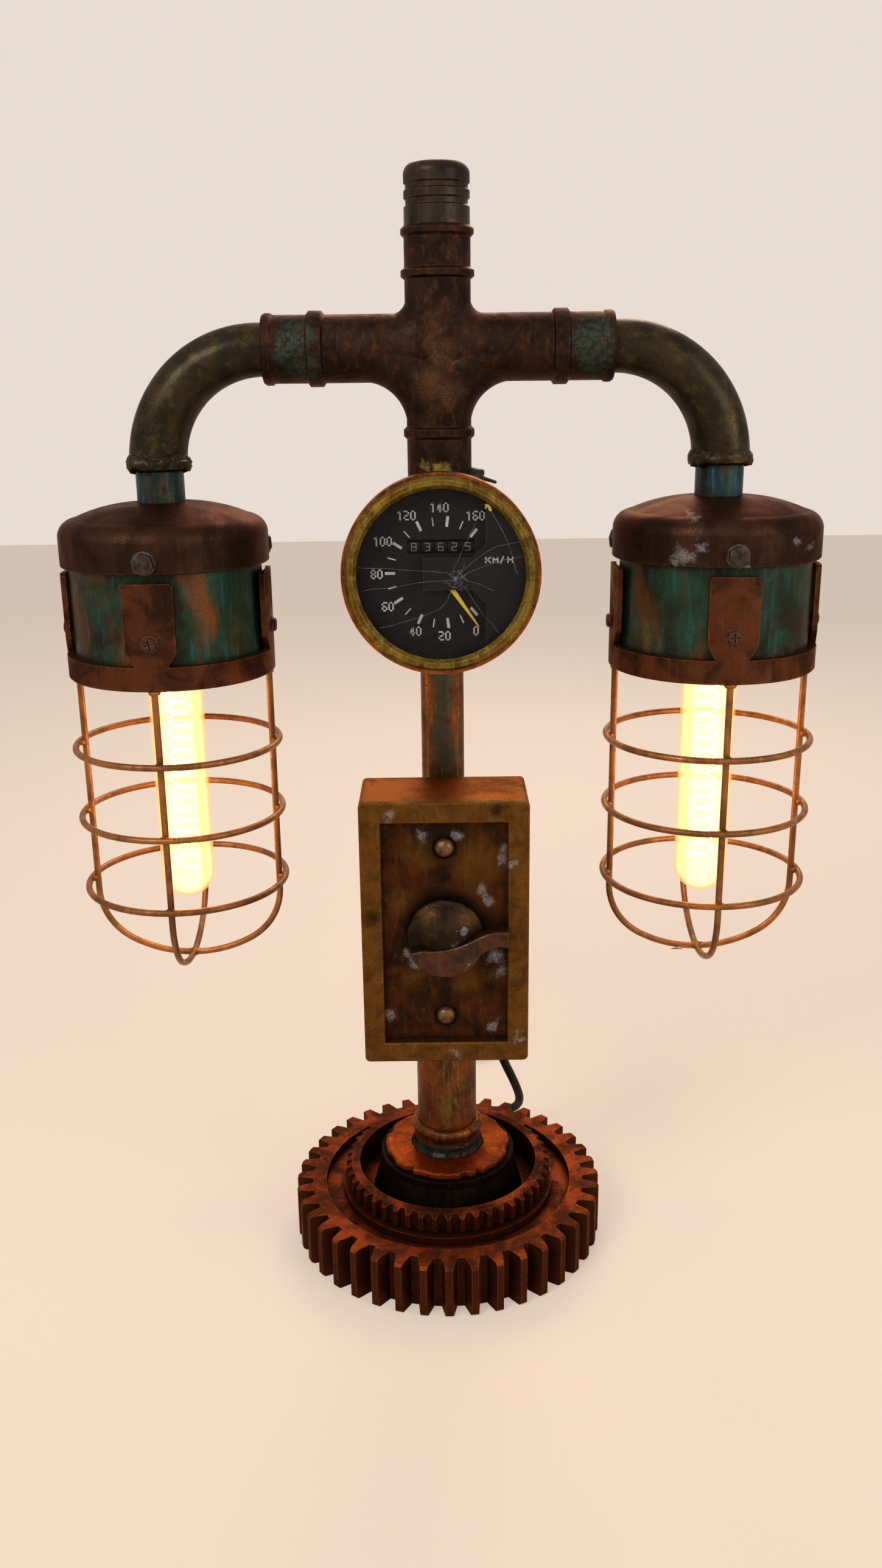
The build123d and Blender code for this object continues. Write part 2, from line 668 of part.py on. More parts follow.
def build_elbow(side):
    """Cast quarter bend with a plain spigot and a beaded socket."""
    bend_x = side * (arm_length + elbow_gap)
    bend_bottom = arm_height - elbow_radius
    bend_axis = Axis((bend_x, 0, bend_bottom), (0, side, 0))
    with BuildPart() as elbow:
        with BuildLine(Plane.XZ) as bend_path:
            JernArc((bend_x, arm_height), (side, 0), elbow_radius, -90 * side)
        with BuildSketch(Plane(origin=(bend_x, 0, arm_height), x_dir=(0, 1, 0), z_dir=(side, 0, 0))):
            Circle(elbow_start_diameter / 2)
        with BuildSketch(Plane(origin=(side * head_x, 0, bend_bottom), x_dir=(0, 1, 0),
                               z_dir=(0, 0, -1))):
            Circle(elbow_end_diameter / 2)
        sweep(path=bend_path.line, multisection=True)
        with BuildSketch(Plane.YZ.offset(side * (arm_length - elbow_spigot))):
            with Locations((0, arm_height)):
                Circle(elbow_start_diameter / 2)
        extrude(amount=side * (elbow_spigot + elbow_gap))
        with BuildSketch(Plane(origin=(side * head_x, 0, 0), x_dir=(1, 0, 0), z_dir=(0, -1, 0))):
            bead = elbow_bead_diameter / 2
            bead_top = elbow_mouth + elbow_bead_length
            Polygon((0, elbow_mouth), (bead - bead_chamfer, elbow_mouth),
                    (bead, elbow_mouth + bead_chamfer), (bead, bead_top - bead_chamfer),
                    (elbow_end_diameter / 2 - crotch_relief, bead_top), (0, bead_top), align=None)
        revolve(axis=Axis((side * head_x, 0, 0), (0, 0, 1)))
        with BuildSketch(Plane.YZ.offset(bend_x)):
            with Locations((0, arm_height)):
                Circle(elbow_bore_diameter / 2)
        revolve(axis=bend_axis, revolution_arc=90, mode=Mode.SUBTRACT)
        with BuildSketch(Plane.YZ.offset(bend_x)):
            with Locations((0, arm_height)):
                Circle(elbow_bore_diameter / 2)
        extrude(amount=-side * (elbow_spigot + elbow_gap), mode=Mode.SUBTRACT)
        with BuildSketch(Plane.XY.offset(bend_bottom)):
            with Locations((side * head_x, 0)):
                Circle(elbow_bore_diameter / 2)
        extrude(amount=elbow_mouth - bend_bottom, mode=Mode.SUBTRACT)
        with BuildSketch(Plane.XY.offset(elbow_mouth)):
            with Locations((side * head_x, 0)):
                Circle(drop_pipe_diameter / 2 + slip_fit)
        extrude(amount=elbow_socket_depth, mode=Mode.SUBTRACT)
    return elbow


def build_cap(section, axis):
    """Spun dome that closes the top of a lamp head."""
    radius = head_cap_diameter / 2
    wall = head_cap_wall
    hole = drop_pipe_diameter / 2 + slip_fit
    with BuildPart() as cap:
        with BuildSketch(section):
            rim = (radius - edge_break, cap_skirt_bottom)
            corner = (radius, cap_skirt_bottom + edge_break)
            with BuildLine():
                Line((hole, cap_crown_height), (hole, cap_crown_height - wall))
                ThreePointArc((hole, cap_crown_height - wall),
                              (cap_crown_radius, cap_crown_height - cap_crown_fall - wall),
                              (cap_shoulder_radius, cap_shoulder_height - wall))
                ThreePointArc((cap_shoulder_radius, cap_shoulder_height - wall),
                              (radius - wall - cap_round_in, cap_skirt_top - wall + cap_round_up),
                              (radius - wall, cap_skirt_top - wall))
                Polyline((radius - wall, cap_skirt_top - wall), (radius - wall, cap_skirt_bottom),
                         rim, corner, (radius, cap_skirt_top))
                ThreePointArc((radius, cap_skirt_top),
                              (radius - cap_round_in, cap_skirt_top + cap_round_up),
                              (cap_shoulder_radius, cap_shoulder_height))
                ThreePointArc((cap_shoulder_radius, cap_shoulder_height),
                              (cap_crown_radius, cap_crown_height - cap_crown_fall),
                              (hole, cap_crown_height))
            make_face()
        revolve(axis=axis)
        with Locations(axis.position + Vector(0, 0, cap_bolt_height)):
            with PolarLocations(0, cap_bolts_each, start_angle=-90):
                Cylinder(cap_bolt_diameter / 2 + slip_fit, 2 * radius, rotation=(0, 90, 0),
                         align=(Align.CENTER, Align.CENTER, Align.MIN), mode=Mode.SUBTRACT)
    return cap


def build_drum(axis):
    """Plain pipe length that forms the body of a lamp head."""
    drum = upright_pipe(drum_diameter, drum_wall, guard_bottom + drum_inset, drum_top, axis.position.X)
    with BuildPart() as holes:
        with Locations(axis.position + Vector(0, 0, cap_bolt_height)):
            with PolarLocations(0, cap_bolts_each, start_angle=-90):
                Cylinder(cap_bolt_diameter / 2 + slip_fit, drum_diameter, rotation=(0, 90, 0),
                         align=(Align.CENTER, Align.CENTER, Align.MIN))
        with Locations(axis.position + Vector(0, 0, strap_screw_height)):
            with PolarLocations(0, guard_straps):
                Cylinder(strap_screw_shank / 2 + slip_fit, drum_diameter, rotation=(0, 90, 0),
                         align=(Align.CENTER, Align.CENTER, Align.MIN))
    drum.part = drum.part - holes.part
    return drum


def build_guard_ring(section, axis):
    """Cast ring with four straps that stand off the drum."""
    x = axis.position.X
    half = guard_strap_width / 2
    foot = guard_strap_foot_width / 2
    outline = ((foot, guard_top - guard_edge), (foot, guard_top), (half, guard_top + guard_strap_taper),
               (half, guard_strap_top - bead_chamfer), (half - bead_chamfer, guard_strap_top))
    with BuildPart() as crossed_slabs:
        for turn in (0, 90):
            slab = Plane(origin=(x, 0, 0), x_dir=(cos(radians(turn)), sin(radians(turn)), 0),
                         z_dir=(sin(radians(turn)), -cos(radians(turn)), 0))
            with BuildSketch(slab):
                Polygon(*outline, *[(-u, v) for u, v in reversed(outline)], align=None)
            extrude(amount=guard_ring_diameter, both=True)
    with BuildPart() as ring:
        with BuildSketch(Plane.XY.offset(guard_top - guard_edge)):
            with Locations((x, 0)):
                Circle(guard_outer)
                Circle(guard_outer - guard_strap_thickness, mode=Mode.SUBTRACT)
        extrude(amount=guard_strap_top - guard_top + guard_edge)
        add(crossed_slabs.part, mode=Mode.INTERSECT)
        with BuildSketch(section):
            Polygon((guard_inner, guard_bottom), (guard_outer - guard_edge, guard_bottom),
                    (guard_outer, guard_bottom + guard_edge), (guard_outer, guard_top),
                    (guard_inner, guard_top), align=None)
        revolve(axis=axis)
        with Locations((x, 0, strap_screw_height)):
            with PolarLocations(0, guard_straps):
                Cylinder(strap_screw_shank / 2 + slip_fit, guard_ring_diameter, rotation=(0, 90, 0),
                         align=(Align.CENTER, Align.CENTER, Align.MIN), mode=Mode.SUBTRACT)
    return ring


def build_guard_wires():
    """Two wires bent to a U that cross on the Z axis, joined where they cross."""
    corner, belly = cage_corner_radius, cage_belly_radius
    inset = wire_circle - corner
    bend_height = cage_bottom + belly - sqrt((belly - corner) ** 2 - inset ** 2)
    corner_turn = 90 - degrees(asin(inset / (belly - corner)))
    with BuildPart() as wires:
        for turn in (0, 90):
            plane = Plane(origin=(0, 0, 0), x_dir=(cos(radians(turn)), sin(radians(turn)), 0),
                          z_dir=(sin(radians(turn)), -cos(radians(turn)), 0))
            with BuildLine(plane) as route:
                down = Line((wire_circle, guard_bottom), (wire_circle, bend_height))
                near = JernArc(down @ 1, down % 1, corner, -corner_turn)
                low = JernArc(near @ 1, near % 1, belly, -2 * (90 - corner_turn))
                far = JernArc(low @ 1, low % 1, corner, -corner_turn)
                Line(far @ 1, (far @ 1) + Vector(0, 0, guard_bottom - bend_height))
            with BuildSketch(Plane(origin=down @ 0, z_dir=(0, 0, -1))):
                Circle(wire_radius)
            sweep(path=route.line)
    return wires


def placed(source, x):
    """A copy of a piece that was built on the Z axis, moved to a lamp head."""
    with BuildPart() as copy:
        with Locations((x, 0, 0)):
            add(source.part)
    return copy


def build_guard_hoops(section, axis):
    """Three wire hoops outside the upright wires."""
    with BuildPart() as hoops:
        with BuildSketch(section):
            with Locations(*[(hoop_circle, cap_crown_height - drop) for drop in hoop_drops]):
                Circle(wire_radius)
        revolve(axis=axis)
    return hoops


def build_holder(section, axis):
    """Lampholder: a skirted shell, a collar on the pipe's end and a bore for the bulb's cap."""
    with BuildPart() as holder:
        with BuildSketch(section):
            bulb_bore = bulb_cap_diameter / 2 + slip_fit
            pipe_bore = drop_pipe_diameter / 2 + slip_fit
            Polygon((bulb_bore, holder_bottom), (holder_diameter / 2, holder_bottom),
                    (holder_diameter / 2, holder_top - bead_chamfer),
                    (holder_diameter / 2 - bead_chamfer, holder_top),
                    (holder_collar_diameter / 2, holder_top),
                    (holder_collar_diameter / 2, holder_collar_top), (pipe_bore, holder_collar_top),
                    (pipe_bore, pipe_end), (holder_cavity, pipe_end),
                    (holder_cavity, holder_web_top), (0, holder_web_top), (0, holder_web_bottom),
                    (bulb_bore, holder_web_bottom), align=None)
        revolve(axis=axis)
    return holder


def build_bulb_glass(section, axis):
    """Tubular bulb: a round-ended shell with its neck closed by the stem."""
    radius = bulb_diameter / 2
    neck = bulb_neck_diameter / 2 - slip_fit
    shoulder = bulb_glass_top - bulb_shoulder_length
    straight_top = shoulder - bulb_taper_length
    neck_top = bulb_glass_top + bulb_neck_depth
    stem = bulb_stem_diameter / 2
    with BuildPart() as glass:
        with BuildSketch(section):
            with BuildLine():
                tip = ThreePointArc((0, bulb_bottom),
                                    (radius * sin(pi / 4), bulb_bottom + radius * (1 - cos(pi / 4))),
                                    (radius, bulb_bottom + radius))
                Polyline(tip @ 1, (radius, straight_top), (neck, shoulder), (neck, neck_top),
                         (0, neck_top), (0, bulb_stem_bottom), (stem, bulb_stem_bottom + bead_chamfer),
                         (stem, neck_top - 3 * bulb_wall), (neck - bulb_wall, neck_top - 3 * bulb_wall),
                         (neck - bulb_wall, shoulder), (radius - bulb_wall, straight_top),
                         (radius - bulb_wall, bulb_bottom + radius))
                inner = radius - bulb_wall
                ThreePointArc((inner, bulb_bottom + radius),
                              (inner * sin(pi / 4), bulb_bottom + radius - inner * cos(pi / 4)),
                              (0, bulb_bottom + bulb_wall))
                Line((0, bulb_bottom + bulb_wall), (0, bulb_bottom))
            make_face()
        revolve(axis=axis)
    return glass


def build_bulb_cap(section, axis):
    """Screw cap of the bulb: a cup for the glass neck, a cone and a centre contact."""
    radius = bulb_cap_diameter / 2
    bore = bulb_neck_diameter / 2
    seat = bulb_glass_top + bulb_neck_depth
    top = bulb_glass_top + bulb_cap_height
    with BuildPart() as cap:
        with BuildSketch(section):
            contact = holder_web_bottom - loose_fit
            Polygon((bore, bulb_glass_top), (radius, bulb_glass_top), (radius, top - bulb_cap_taper),
                    (bulb_contact_base / 2, top), (bulb_contact_tip / 2, contact), (0, contact),
                    (0, seat), (bore, seat), align=None)
        revolve(axis=axis)
    return cap


def build_filament(section, axis):
    """Centre rod, two spiders and a cage of upright filament legs."""
    x = axis.position.X
    circle = filament_circle_diameter / 2
    thin = filament_wire_diameter / 2
    with BuildPart() as filament:
        with BuildSketch(section):
            spider = circle + 2 * thin
            Polygon((0, filament_bottom), (spider, filament_bottom),
                    (spider, filament_bottom + filament_wire_diameter),
                    (thin, filament_bottom + filament_hub_height),
                    (thin, filament_top - filament_hub_height),
                    (spider, filament_top - filament_wire_diameter),
                    (spider, filament_top), (0, filament_top), align=None)
        revolve(axis=axis)
        with BuildSketch(Plane.XY.offset(filament_bottom)):
            with Locations((x, 0)):
                with PolarLocations(circle, filament_wires):
                    Circle(thin)
        extrude(amount=filament_top - filament_bottom)
    return filament


def write_piece(piece, name):
    """Label a finished piece and write its STEP file."""
    piece.part.label = name
    export_step(piece.part, f"parts/{name}.step")


guard_wires = build_guard_wires()
for side_name, side in (("left", -1), ("right", 1)):
    x = side * head_x
    head_section = Plane(origin=(x, 0, 0), x_dir=(1, 0, 0), z_dir=(0, -1, 0))
    head_axis = Axis((x, 0, 0), (0, 0, 1))
    head_pieces = {
        "elbow": build_elbow(side),
        "drop_pipe": upright_pipe(drop_pipe_diameter, drop_pipe_wall, pipe_end,
                                  elbow_mouth + elbow_socket_depth, x),
        "head_cap": build_cap(head_section, head_axis),
        "drum": build_drum(head_axis),
        "guard_ring": build_guard_ring(head_section, head_axis),
        "guard_wires": placed(guard_wires, x),
        "guard_hoops": build_guard_hoops(head_section, head_axis),
        "lampholder": build_holder(head_section, head_axis),
        "bulb_glass": build_bulb_glass(head_section, head_axis),
        "bulb_cap": build_bulb_cap(head_section, head_axis),
        "filament": build_filament(head_section, head_axis),
    }
    for piece_name, piece in head_pieces.items():
        write_piece(piece, f"{side_name}_{piece_name}")

with BuildPart() as cap_bolt:  # hexagon bolt pointing out along +X
    with BuildSketch(Plane.YZ.offset(head_cap_diameter / 2)):
        RegularPolygon(cap_bolt_across_flats / 2, 6, major_radius=False)
    extrude(amount=cap_bolt_head)
    with BuildSketch(Plane.YZ.offset(head_cap_diameter / 2)):
        Circle(cap_bolt_diameter / 2)
    extrude(amount=-(head_cap_diameter - drum_diameter) / 2 - drum_wall - cap_bolt_reach)
    chamfer(cap_bolt.edges().filter_by(GeomType.LINE).group_by(Axis.X)[-1], edge_break)

with BuildPart() as strap_screw:  # pan-head screw pointing out along +X
    with BuildSketch(Plane.XZ):
        Polygon((guard_outer, 0), (guard_outer, strap_screw_diameter / 2),
                (guard_outer + strap_screw_head * 0.5, strap_screw_diameter / 2),
                (guard_outer + strap_screw_head, strap_screw_diameter / 4),
                (guard_outer + strap_screw_head, 0), align=None)
    revolve(axis=Axis.X)
    with BuildSketch(Plane.YZ.offset(guard_outer)):
        Circle(strap_screw_shank / 2)
    extrude(amount=-(guard_outer - drum_diameter / 2) - drum_wall - cap_bolt_reach)

with BuildPart() as cap_bolts:
    with Locations((-head_x, 0, cap_bolt_height), (head_x, 0, cap_bolt_height)):
        with PolarLocations(0, cap_bolts_each, start_angle=-90):
            add(cap_bolt.part)

with BuildPart() as strap_screws:
    with Locations((-head_x, 0, strap_screw_height), (head_x, 0, strap_screw_height)):
        with PolarLocations(0, guard_straps):
            add(strap_screw.part)

# ================================================================ switch box
box_frame_plane = Plane(origin=(0, 0, box_centre), x_dir=(1, 0, 0), z_dir=(0, -1, 0))
clear_width = box_width - 2 * box_wall
clear_height = box_height - 2 * box_wall
screw_rise = panel_screw_spacing / 2
tab_length = clear_height / 2 - screw_rise + tab_margin

with BuildPart() as box_shell:
    with BuildSketch(box_frame_plane.offset(box_back)):
        RectangleRounded(box_width, box_height, box_corner)
    extrude(amount=box_depth - frame_thickness)
    with BuildSketch(box_frame_plane.offset(box_back + box_wall)):
        Rectangle(clear_width, clear_height)
    extrude(amount=box_depth, mode=Mode.SUBTRACT)
    with BuildSketch(box_frame_plane.offset(switch_face - tab_thickness)):
        for end in (-1, 1):
            with Locations((0, end * (clear_height / 2 - tab_length / 2))):
                Rectangle(tab_width, tab_length)
    extrude(amount=tab_thickness)
    with BuildSketch(box_frame_plane.offset(switch_face - tab_thickness)):
        with Locations((0, screw_rise), (0, -screw_rise)):
            Circle(panel_screw_shank / 2 + slip_fit)
    extrude(amount=tab_thickness, mode=Mode.SUBTRACT)
    with BuildSketch(box_frame_plane.offset(box_back)):
        Circle(nipple_diameter / 2 + slip_fit)
        with Locations((gland_x, gland_z - box_centre)):
            Circle(gland_shank_diameter / 2 + slip_fit)
        for height in clamp_heights:
            with Locations((-clamp_screw_spacing / 2, height - box_centre),
                           (clamp_screw_spacing / 2, height - box_centre)):
                Circle(clamp_screw_diameter / 2 + slip_fit)
    extrude(amount=box_wall, mode=Mode.SUBTRACT)

with BuildPart() as box_frame:
    with BuildSketch(box_frame_plane.offset(panel_front)):
        RectangleRounded(box_width, box_height, box_corner)
        Rectangle(box_width - 2 * frame_border, box_height - 2 * frame_border, mode=Mode.SUBTRACT)
    extrude(amount=frame_thickness)
    chamfer(box_frame.faces().sort_by(Axis.Y)[0].edges(), edge_break)

with BuildPart() as switch_panel:
    with BuildSketch(box_frame_plane.offset(switch_face)):
        Rectangle(clear_width - 2 * panel_play, clear_height - 2 * panel_play)
        Circle(spindle_diameter / 2 + loose_fit, mode=Mode.SUBTRACT)
        with Locations((0, screw_rise), (0, -screw_rise)):
            Circle(panel_screw_shank / 2 + slip_fit, mode=Mode.SUBTRACT)
    extrude(amount=panel_thickness)

with BuildPart() as panel_screws:
    for end in (-1, 1):
        height = box_centre + end * screw_rise
        with BuildSketch(Plane.XY.offset(height)):
            head = panel_screw_diameter / 2
            shank = panel_screw_shank / 2
            shank_end = -(switch_face - tab_thickness - screw_overhang)
            Polygon((0, shank_end), (shank, shank_end), (shank, -panel_front), (head, -panel_front),
                    (head, -panel_front - panel_screw_head * 0.4),
                    (head * 0.75, -panel_front - panel_screw_head * 0.85),
                    (head * 0.4, -panel_front - panel_screw_head),
                    (0, -panel_front - panel_screw_head), align=None)
        revolve(axis=Axis((0, 0, height), (0, 1, 0)))

knob_back = panel_front + body_gap
knob_face = knob_back + knob_base_thickness
with BuildPart() as switch_knob:
    with BuildSketch(Plane.XY.offset(box_centre)):
        dome_radius = knob_diameter / 2 - knob_bevel
        sphere = (dome_radius ** 2 + knob_dome_height ** 2) / (2 * knob_dome_height)
        middle = dome_radius / 2
        middle_rise = knob_dome_height - sphere + sqrt(sphere ** 2 - middle ** 2)
        with BuildLine():
            Polyline((0, -knob_face - knob_dome_height), (0, -knob_back + spindle_length),
                     (spindle_diameter / 2, -knob_back + spindle_length),
                     (spindle_diameter / 2, -knob_back), (knob_diameter / 2 - knob_edge, -knob_back),
                     (knob_diameter / 2, -knob_back - knob_edge),
                     (knob_diameter / 2, -knob_face + knob_bevel), (dome_radius, -knob_face))
            ThreePointArc((dome_radius, -knob_face), (middle, -knob_face - middle_rise),
                          (0, -knob_face - knob_dome_height))
        make_face()
    revolve(axis=Axis((0, 0, box_centre), (0, 1, 0)))
    with BuildSketch(box_frame_plane.offset(box_front + body_gap)):
        rim = knob_diameter / 2 - knob_grip_inset
        left_angle, right_angle = (radians(angle) for angle in knob_grip_angles)
        left_end = (-rim * cos(left_angle), -rim * sin(left_angle))
        arm_root = (rim * cos(right_angle), -rim * sin(right_angle))
        ledge_start, ledge_middle, ledge_end, lip_middle = knob_grip_ledge
        tip_top, tip_bottom = knob_grip_tip
        with BuildLine():
            ThreePointArc(ledge_start, ledge_middle, ledge_end)
            ThreePointArc(ledge_end, lip_middle, (knob_grip_reach, tip_top))
            Line((knob_grip_reach, tip_top), (knob_grip_reach, tip_bottom))
            ThreePointArc((knob_grip_reach, tip_bottom), knob_grip_waist, arm_root)
            ThreePointArc(arm_root, (0, -rim), left_end)
            Line(left_end, ledge_start)
        make_face()
    extrude(amount=knob_grip_height)

with BuildPart() as switch_body:
    with BuildSketch(box_frame_plane.offset(switch_face)):
        Rectangle(switch_size, switch_size)
        Circle(spindle_diameter / 2 + running_fit, mode=Mode.SUBTRACT)
    extrude(amount=-(spindle_length - panel_thickness))
    with BuildSketch(box_frame_plane.offset(switch_face - (spindle_length - panel_thickness))):
        Rectangle(switch_size, switch_size)
    extrude(amount=-(switch_depth - spindle_length + panel_thickness))
    with BuildSketch(box_frame_plane.offset(switch_face - switch_depth)):
        with GridLocations(switch_size / 3, 0, 3, 1):
            Rectangle(switch_tab_width, switch_tab_thickness)
    extrude(amount=-switch_tab_length)

# ---------------------------------------------------------------- box fixings
with BuildPart() as box_clamps:
    for height in clamp_heights:
        with BuildSketch(Plane.XY.offset(height - clamp_height / 2)):  # saddle and rear strap
            with Locations((0, -box_back / 2 - body_gap / 2)):
                Rectangle(clamp_width, box_back - body_gap)
            with Locations((0, clamp_strap / 2 + body_gap)):
                Rectangle(clamp_width, clamp_strap)
            Circle(upper_post_diameter / 2 + clamp_strap)
            Circle(upper_post_diameter / 2 + slip_fit, mode=Mode.SUBTRACT)
            Rectangle(2 * clamp_width, 2 * body_gap, mode=Mode.SUBTRACT)
        extrude(amount=clamp_height)
        with BuildSketch(Plane.XZ.offset(-clamp_strap - body_gap)):
            with Locations((-clamp_screw_spacing / 2, height), (clamp_screw_spacing / 2, height)):
                Circle(clamp_screw_diameter / 2 + slip_fit)
        extrude(amount=box_front, mode=Mode.SUBTRACT)

with BuildPart() as clamp_screws:
    strap_face = clamp_strap + body_gap
    for height in clamp_heights:
        with Locations((-clamp_screw_spacing / 2, strap_face, height),
                       (clamp_screw_spacing / 2, strap_face, height)):
            Cylinder(clamp_screw_head / 2, clamp_screw_head_height, rotation=(-90, 0, 0),
                     align=(Align.CENTER, Align.CENTER, Align.MIN))
            Cylinder(clamp_screw_diameter / 2, strap_face + box_back + box_wall + screw_overhang,
                     rotation=(90, 0, 0), align=(Align.CENTER, Align.CENTER, Align.MIN))

nipple_start = -(box_back + box_wall + nipple_nut_thickness + nipple_overhang)
nipple_end = -(upper_post_diameter / 2 - upper_post_wall + nipple_inset)
with BuildPart() as wire_nipple:  # threaded tube from the box into the post, with its nuts
    with BuildSketch(Plane.XZ.offset(-nipple_start)):
        with Locations((0, box_centre)):
            Circle(nipple_diameter / 2)
            Circle(nipple_bore / 2, mode=Mode.SUBTRACT)
    extrude(amount=nipple_start - nipple_end)
    for face in (box_back + box_wall + nipple_nut_thickness, box_back):
        with BuildSketch(Plane.XZ.offset(face)):
            with Locations((0, box_centre)):
                RegularPolygon(nipple_nut_diameter / 2, 6)
                Circle(nipple_diameter / 2 - cut_margin, mode=Mode.SUBTRACT)
        extrude(amount=-nipple_nut_thickness)

gland_seat = -box_back
gland_tip = gland_seat + gland_flange_thickness + gland_nose_length
with BuildPart() as cable_gland:
    with BuildSketch(Plane.XY.offset(gland_z)):
        shank = gland_shank_diameter / 2
        shank_end = gland_seat - box_wall - gland_tail
        with Locations((gland_x, 0)):
            Polygon((0, shank_end), (shank, shank_end), (shank, gland_seat),
                    (gland_flange_diameter / 2, gland_seat),
                    (gland_flange_diameter / 2, gland_seat + gland_flange_thickness - edge_break),
                    (gland_flange_diameter / 2 - edge_break, gland_seat + gland_flange_thickness),
                    (gland_nose_diameter / 2, gland_seat + gland_flange_thickness),
                    (gland_tip_diameter / 2, gland_tip), (0, gland_tip), align=None)
    revolve(axis=Axis((gland_x, 0, gland_z), (0, 1, 0)))

# ================================================================ gauge
gauge_section = Plane.XY.offset(gauge_height)
gauge_axis = Axis((0, 0, gauge_height), (0, 1, 0))
gauge_face_plane = Plane(origin=(0, 0, gauge_height), x_dir=(1, 0, 0), z_dir=(0, -1, 0))
gauge_back = upper_post_diameter / 2 + gauge_standoff
rim_front = gauge_front - gauge_rim_setback
ledge = rim_front - gauge_can_rim
rim_radius = gauge_can_diameter / 2
can_radius = gauge_can_body_diameter / 2
can_floor = gauge_back + gauge_can_wall
glass_front = gauge_front - bezel_lip
dial_front = ledge + dial_thickness
bezel_back = gauge_front - bezel_length
bezel_bore = glass_diameter / 2 + glass_play
drum_axis_depth = ledge - body_gap - drum_radius
drum_height = gauge_height + odometer_rise

with BuildPart() as gauge_can:
    with BuildSketch(gauge_section):
        Polygon((0, -gauge_back), (can_radius - gauge_can_corner, -gauge_back),
                (can_radius, -gauge_back - gauge_can_corner), (can_radius, -ledge + gauge_can_wall),
                (rim_radius - edge_break, -ledge + gauge_can_wall),
                (rim_radius, -ledge + gauge_can_wall - edge_break), (rim_radius, -rim_front),
                (rim_radius - gauge_can_wall, -rim_front), (rim_radius - gauge_can_wall, -ledge),
                (can_radius - gauge_can_wall, -ledge), (can_radius - gauge_can_wall, -can_floor),
                (0, -can_floor), align=None)
    revolve(axis=gauge_axis)

with BuildPart() as gauge_bezel:
    with BuildSketch(gauge_section):
        bezel_radius = bezel_diameter / 2
        Polygon((bezel_bore, -bezel_back), (bezel_bore, -glass_front),
                (bezel_opening / 2, -glass_front), (bezel_opening / 2, -gauge_front + bezel_bevel),
                (bezel_opening / 2 + bezel_bevel, -gauge_front), (bezel_radius - bezel_bevel, -gauge_front),
                (bezel_radius, -gauge_front + bezel_bevel), (bezel_radius, -bezel_back), align=None)
    revolve(axis=gauge_axis)

with BuildPart() as gauge_glass:
    with BuildSketch(gauge_face_plane.offset(glass_front - glass_thickness)):
        Circle(glass_diameter / 2)
    extrude(amount=glass_thickness)

with BuildPart() as gauge_dial:
    with BuildSketch(gauge_face_plane.offset(ledge)):
        Circle(bezel_diameter / 2)
        Circle(needle_spindle_diameter / 2 + loose_fit, mode=Mode.SUBTRACT)
        with Locations((0, odometer_rise)):
            Rectangle(dial_window_width, dial_window_height, mode=Mode.SUBTRACT)
    extrude(amount=dial_thickness)

bridge_front = dial_front + bridge_rise
with BuildPart() as dial_bridge:  # raised face plate whose tongue covers the needle's hub
    edge = bezel_bore - bridge_block_margin
    corner_z = sqrt(edge ** 2 - bridge_block_start ** 2)
    tongue = bridge_height / 2
    with BuildSketch(gauge_face_plane.offset(bridge_front - bridge_thickness)):
        with BuildLine():
            ThreePointArc((bridge_block_start, -corner_z), (edge, 0), (bridge_block_start, corner_z))
            Polyline((bridge_block_start, corner_z), (bridge_block_start, tongue + bridge_flare),
                     (bridge_width - bridge_overhang, tongue), (-bridge_overhang, tongue),
                     (-bridge_overhang, -tongue), (bridge_width - bridge_overhang, -tongue),
                     (bridge_block_start, -tongue - bridge_flare), (bridge_block_start, -corner_z))
        make_face()
    extrude(amount=bridge_thickness)
    with BuildSketch(gauge_face_plane.offset(dial_front)):
        with BuildLine():
            ThreePointArc((bridge_block_start, -corner_z), (edge, 0), (bridge_block_start, corner_z))
            Line((bridge_block_start, corner_z), (bridge_block_start, -corner_z))
        make_face()
    extrude(amount=bridge_rise - bridge_thickness)

needle_front = bridge_front - bridge_thickness - body_gap
needle_turn = radians(needle_rest_angle)
needle_plane = Plane(origin=(0, 0, gauge_height), z_dir=(0, -1, 0),
                     x_dir=(sin(needle_turn), 0, cos(needle_turn)))
with BuildPart() as gauge_needle:
    with BuildSketch(needle_plane.offset(needle_front - needle_thickness)):
        Polygon((-needle_tail, -needle_width), (-needle_tail, needle_width),
                (needle_length - needle_point, needle_tip_width / 2), (needle_length, 0),
                (needle_length - needle_point, -needle_tip_width / 2), align=None)
    extrude(amount=needle_thickness)
    with BuildSketch(needle_plane.offset(dial_front + body_gap)):
        Circle(needle_hub_diameter / 2)
    extrude(amount=needle_front - dial_front - body_gap)
    with BuildSketch(needle_plane.offset(dial_front + body_gap)):
        Circle(needle_spindle_diameter / 2)
    extrude(amount=-needle_spindle_length)

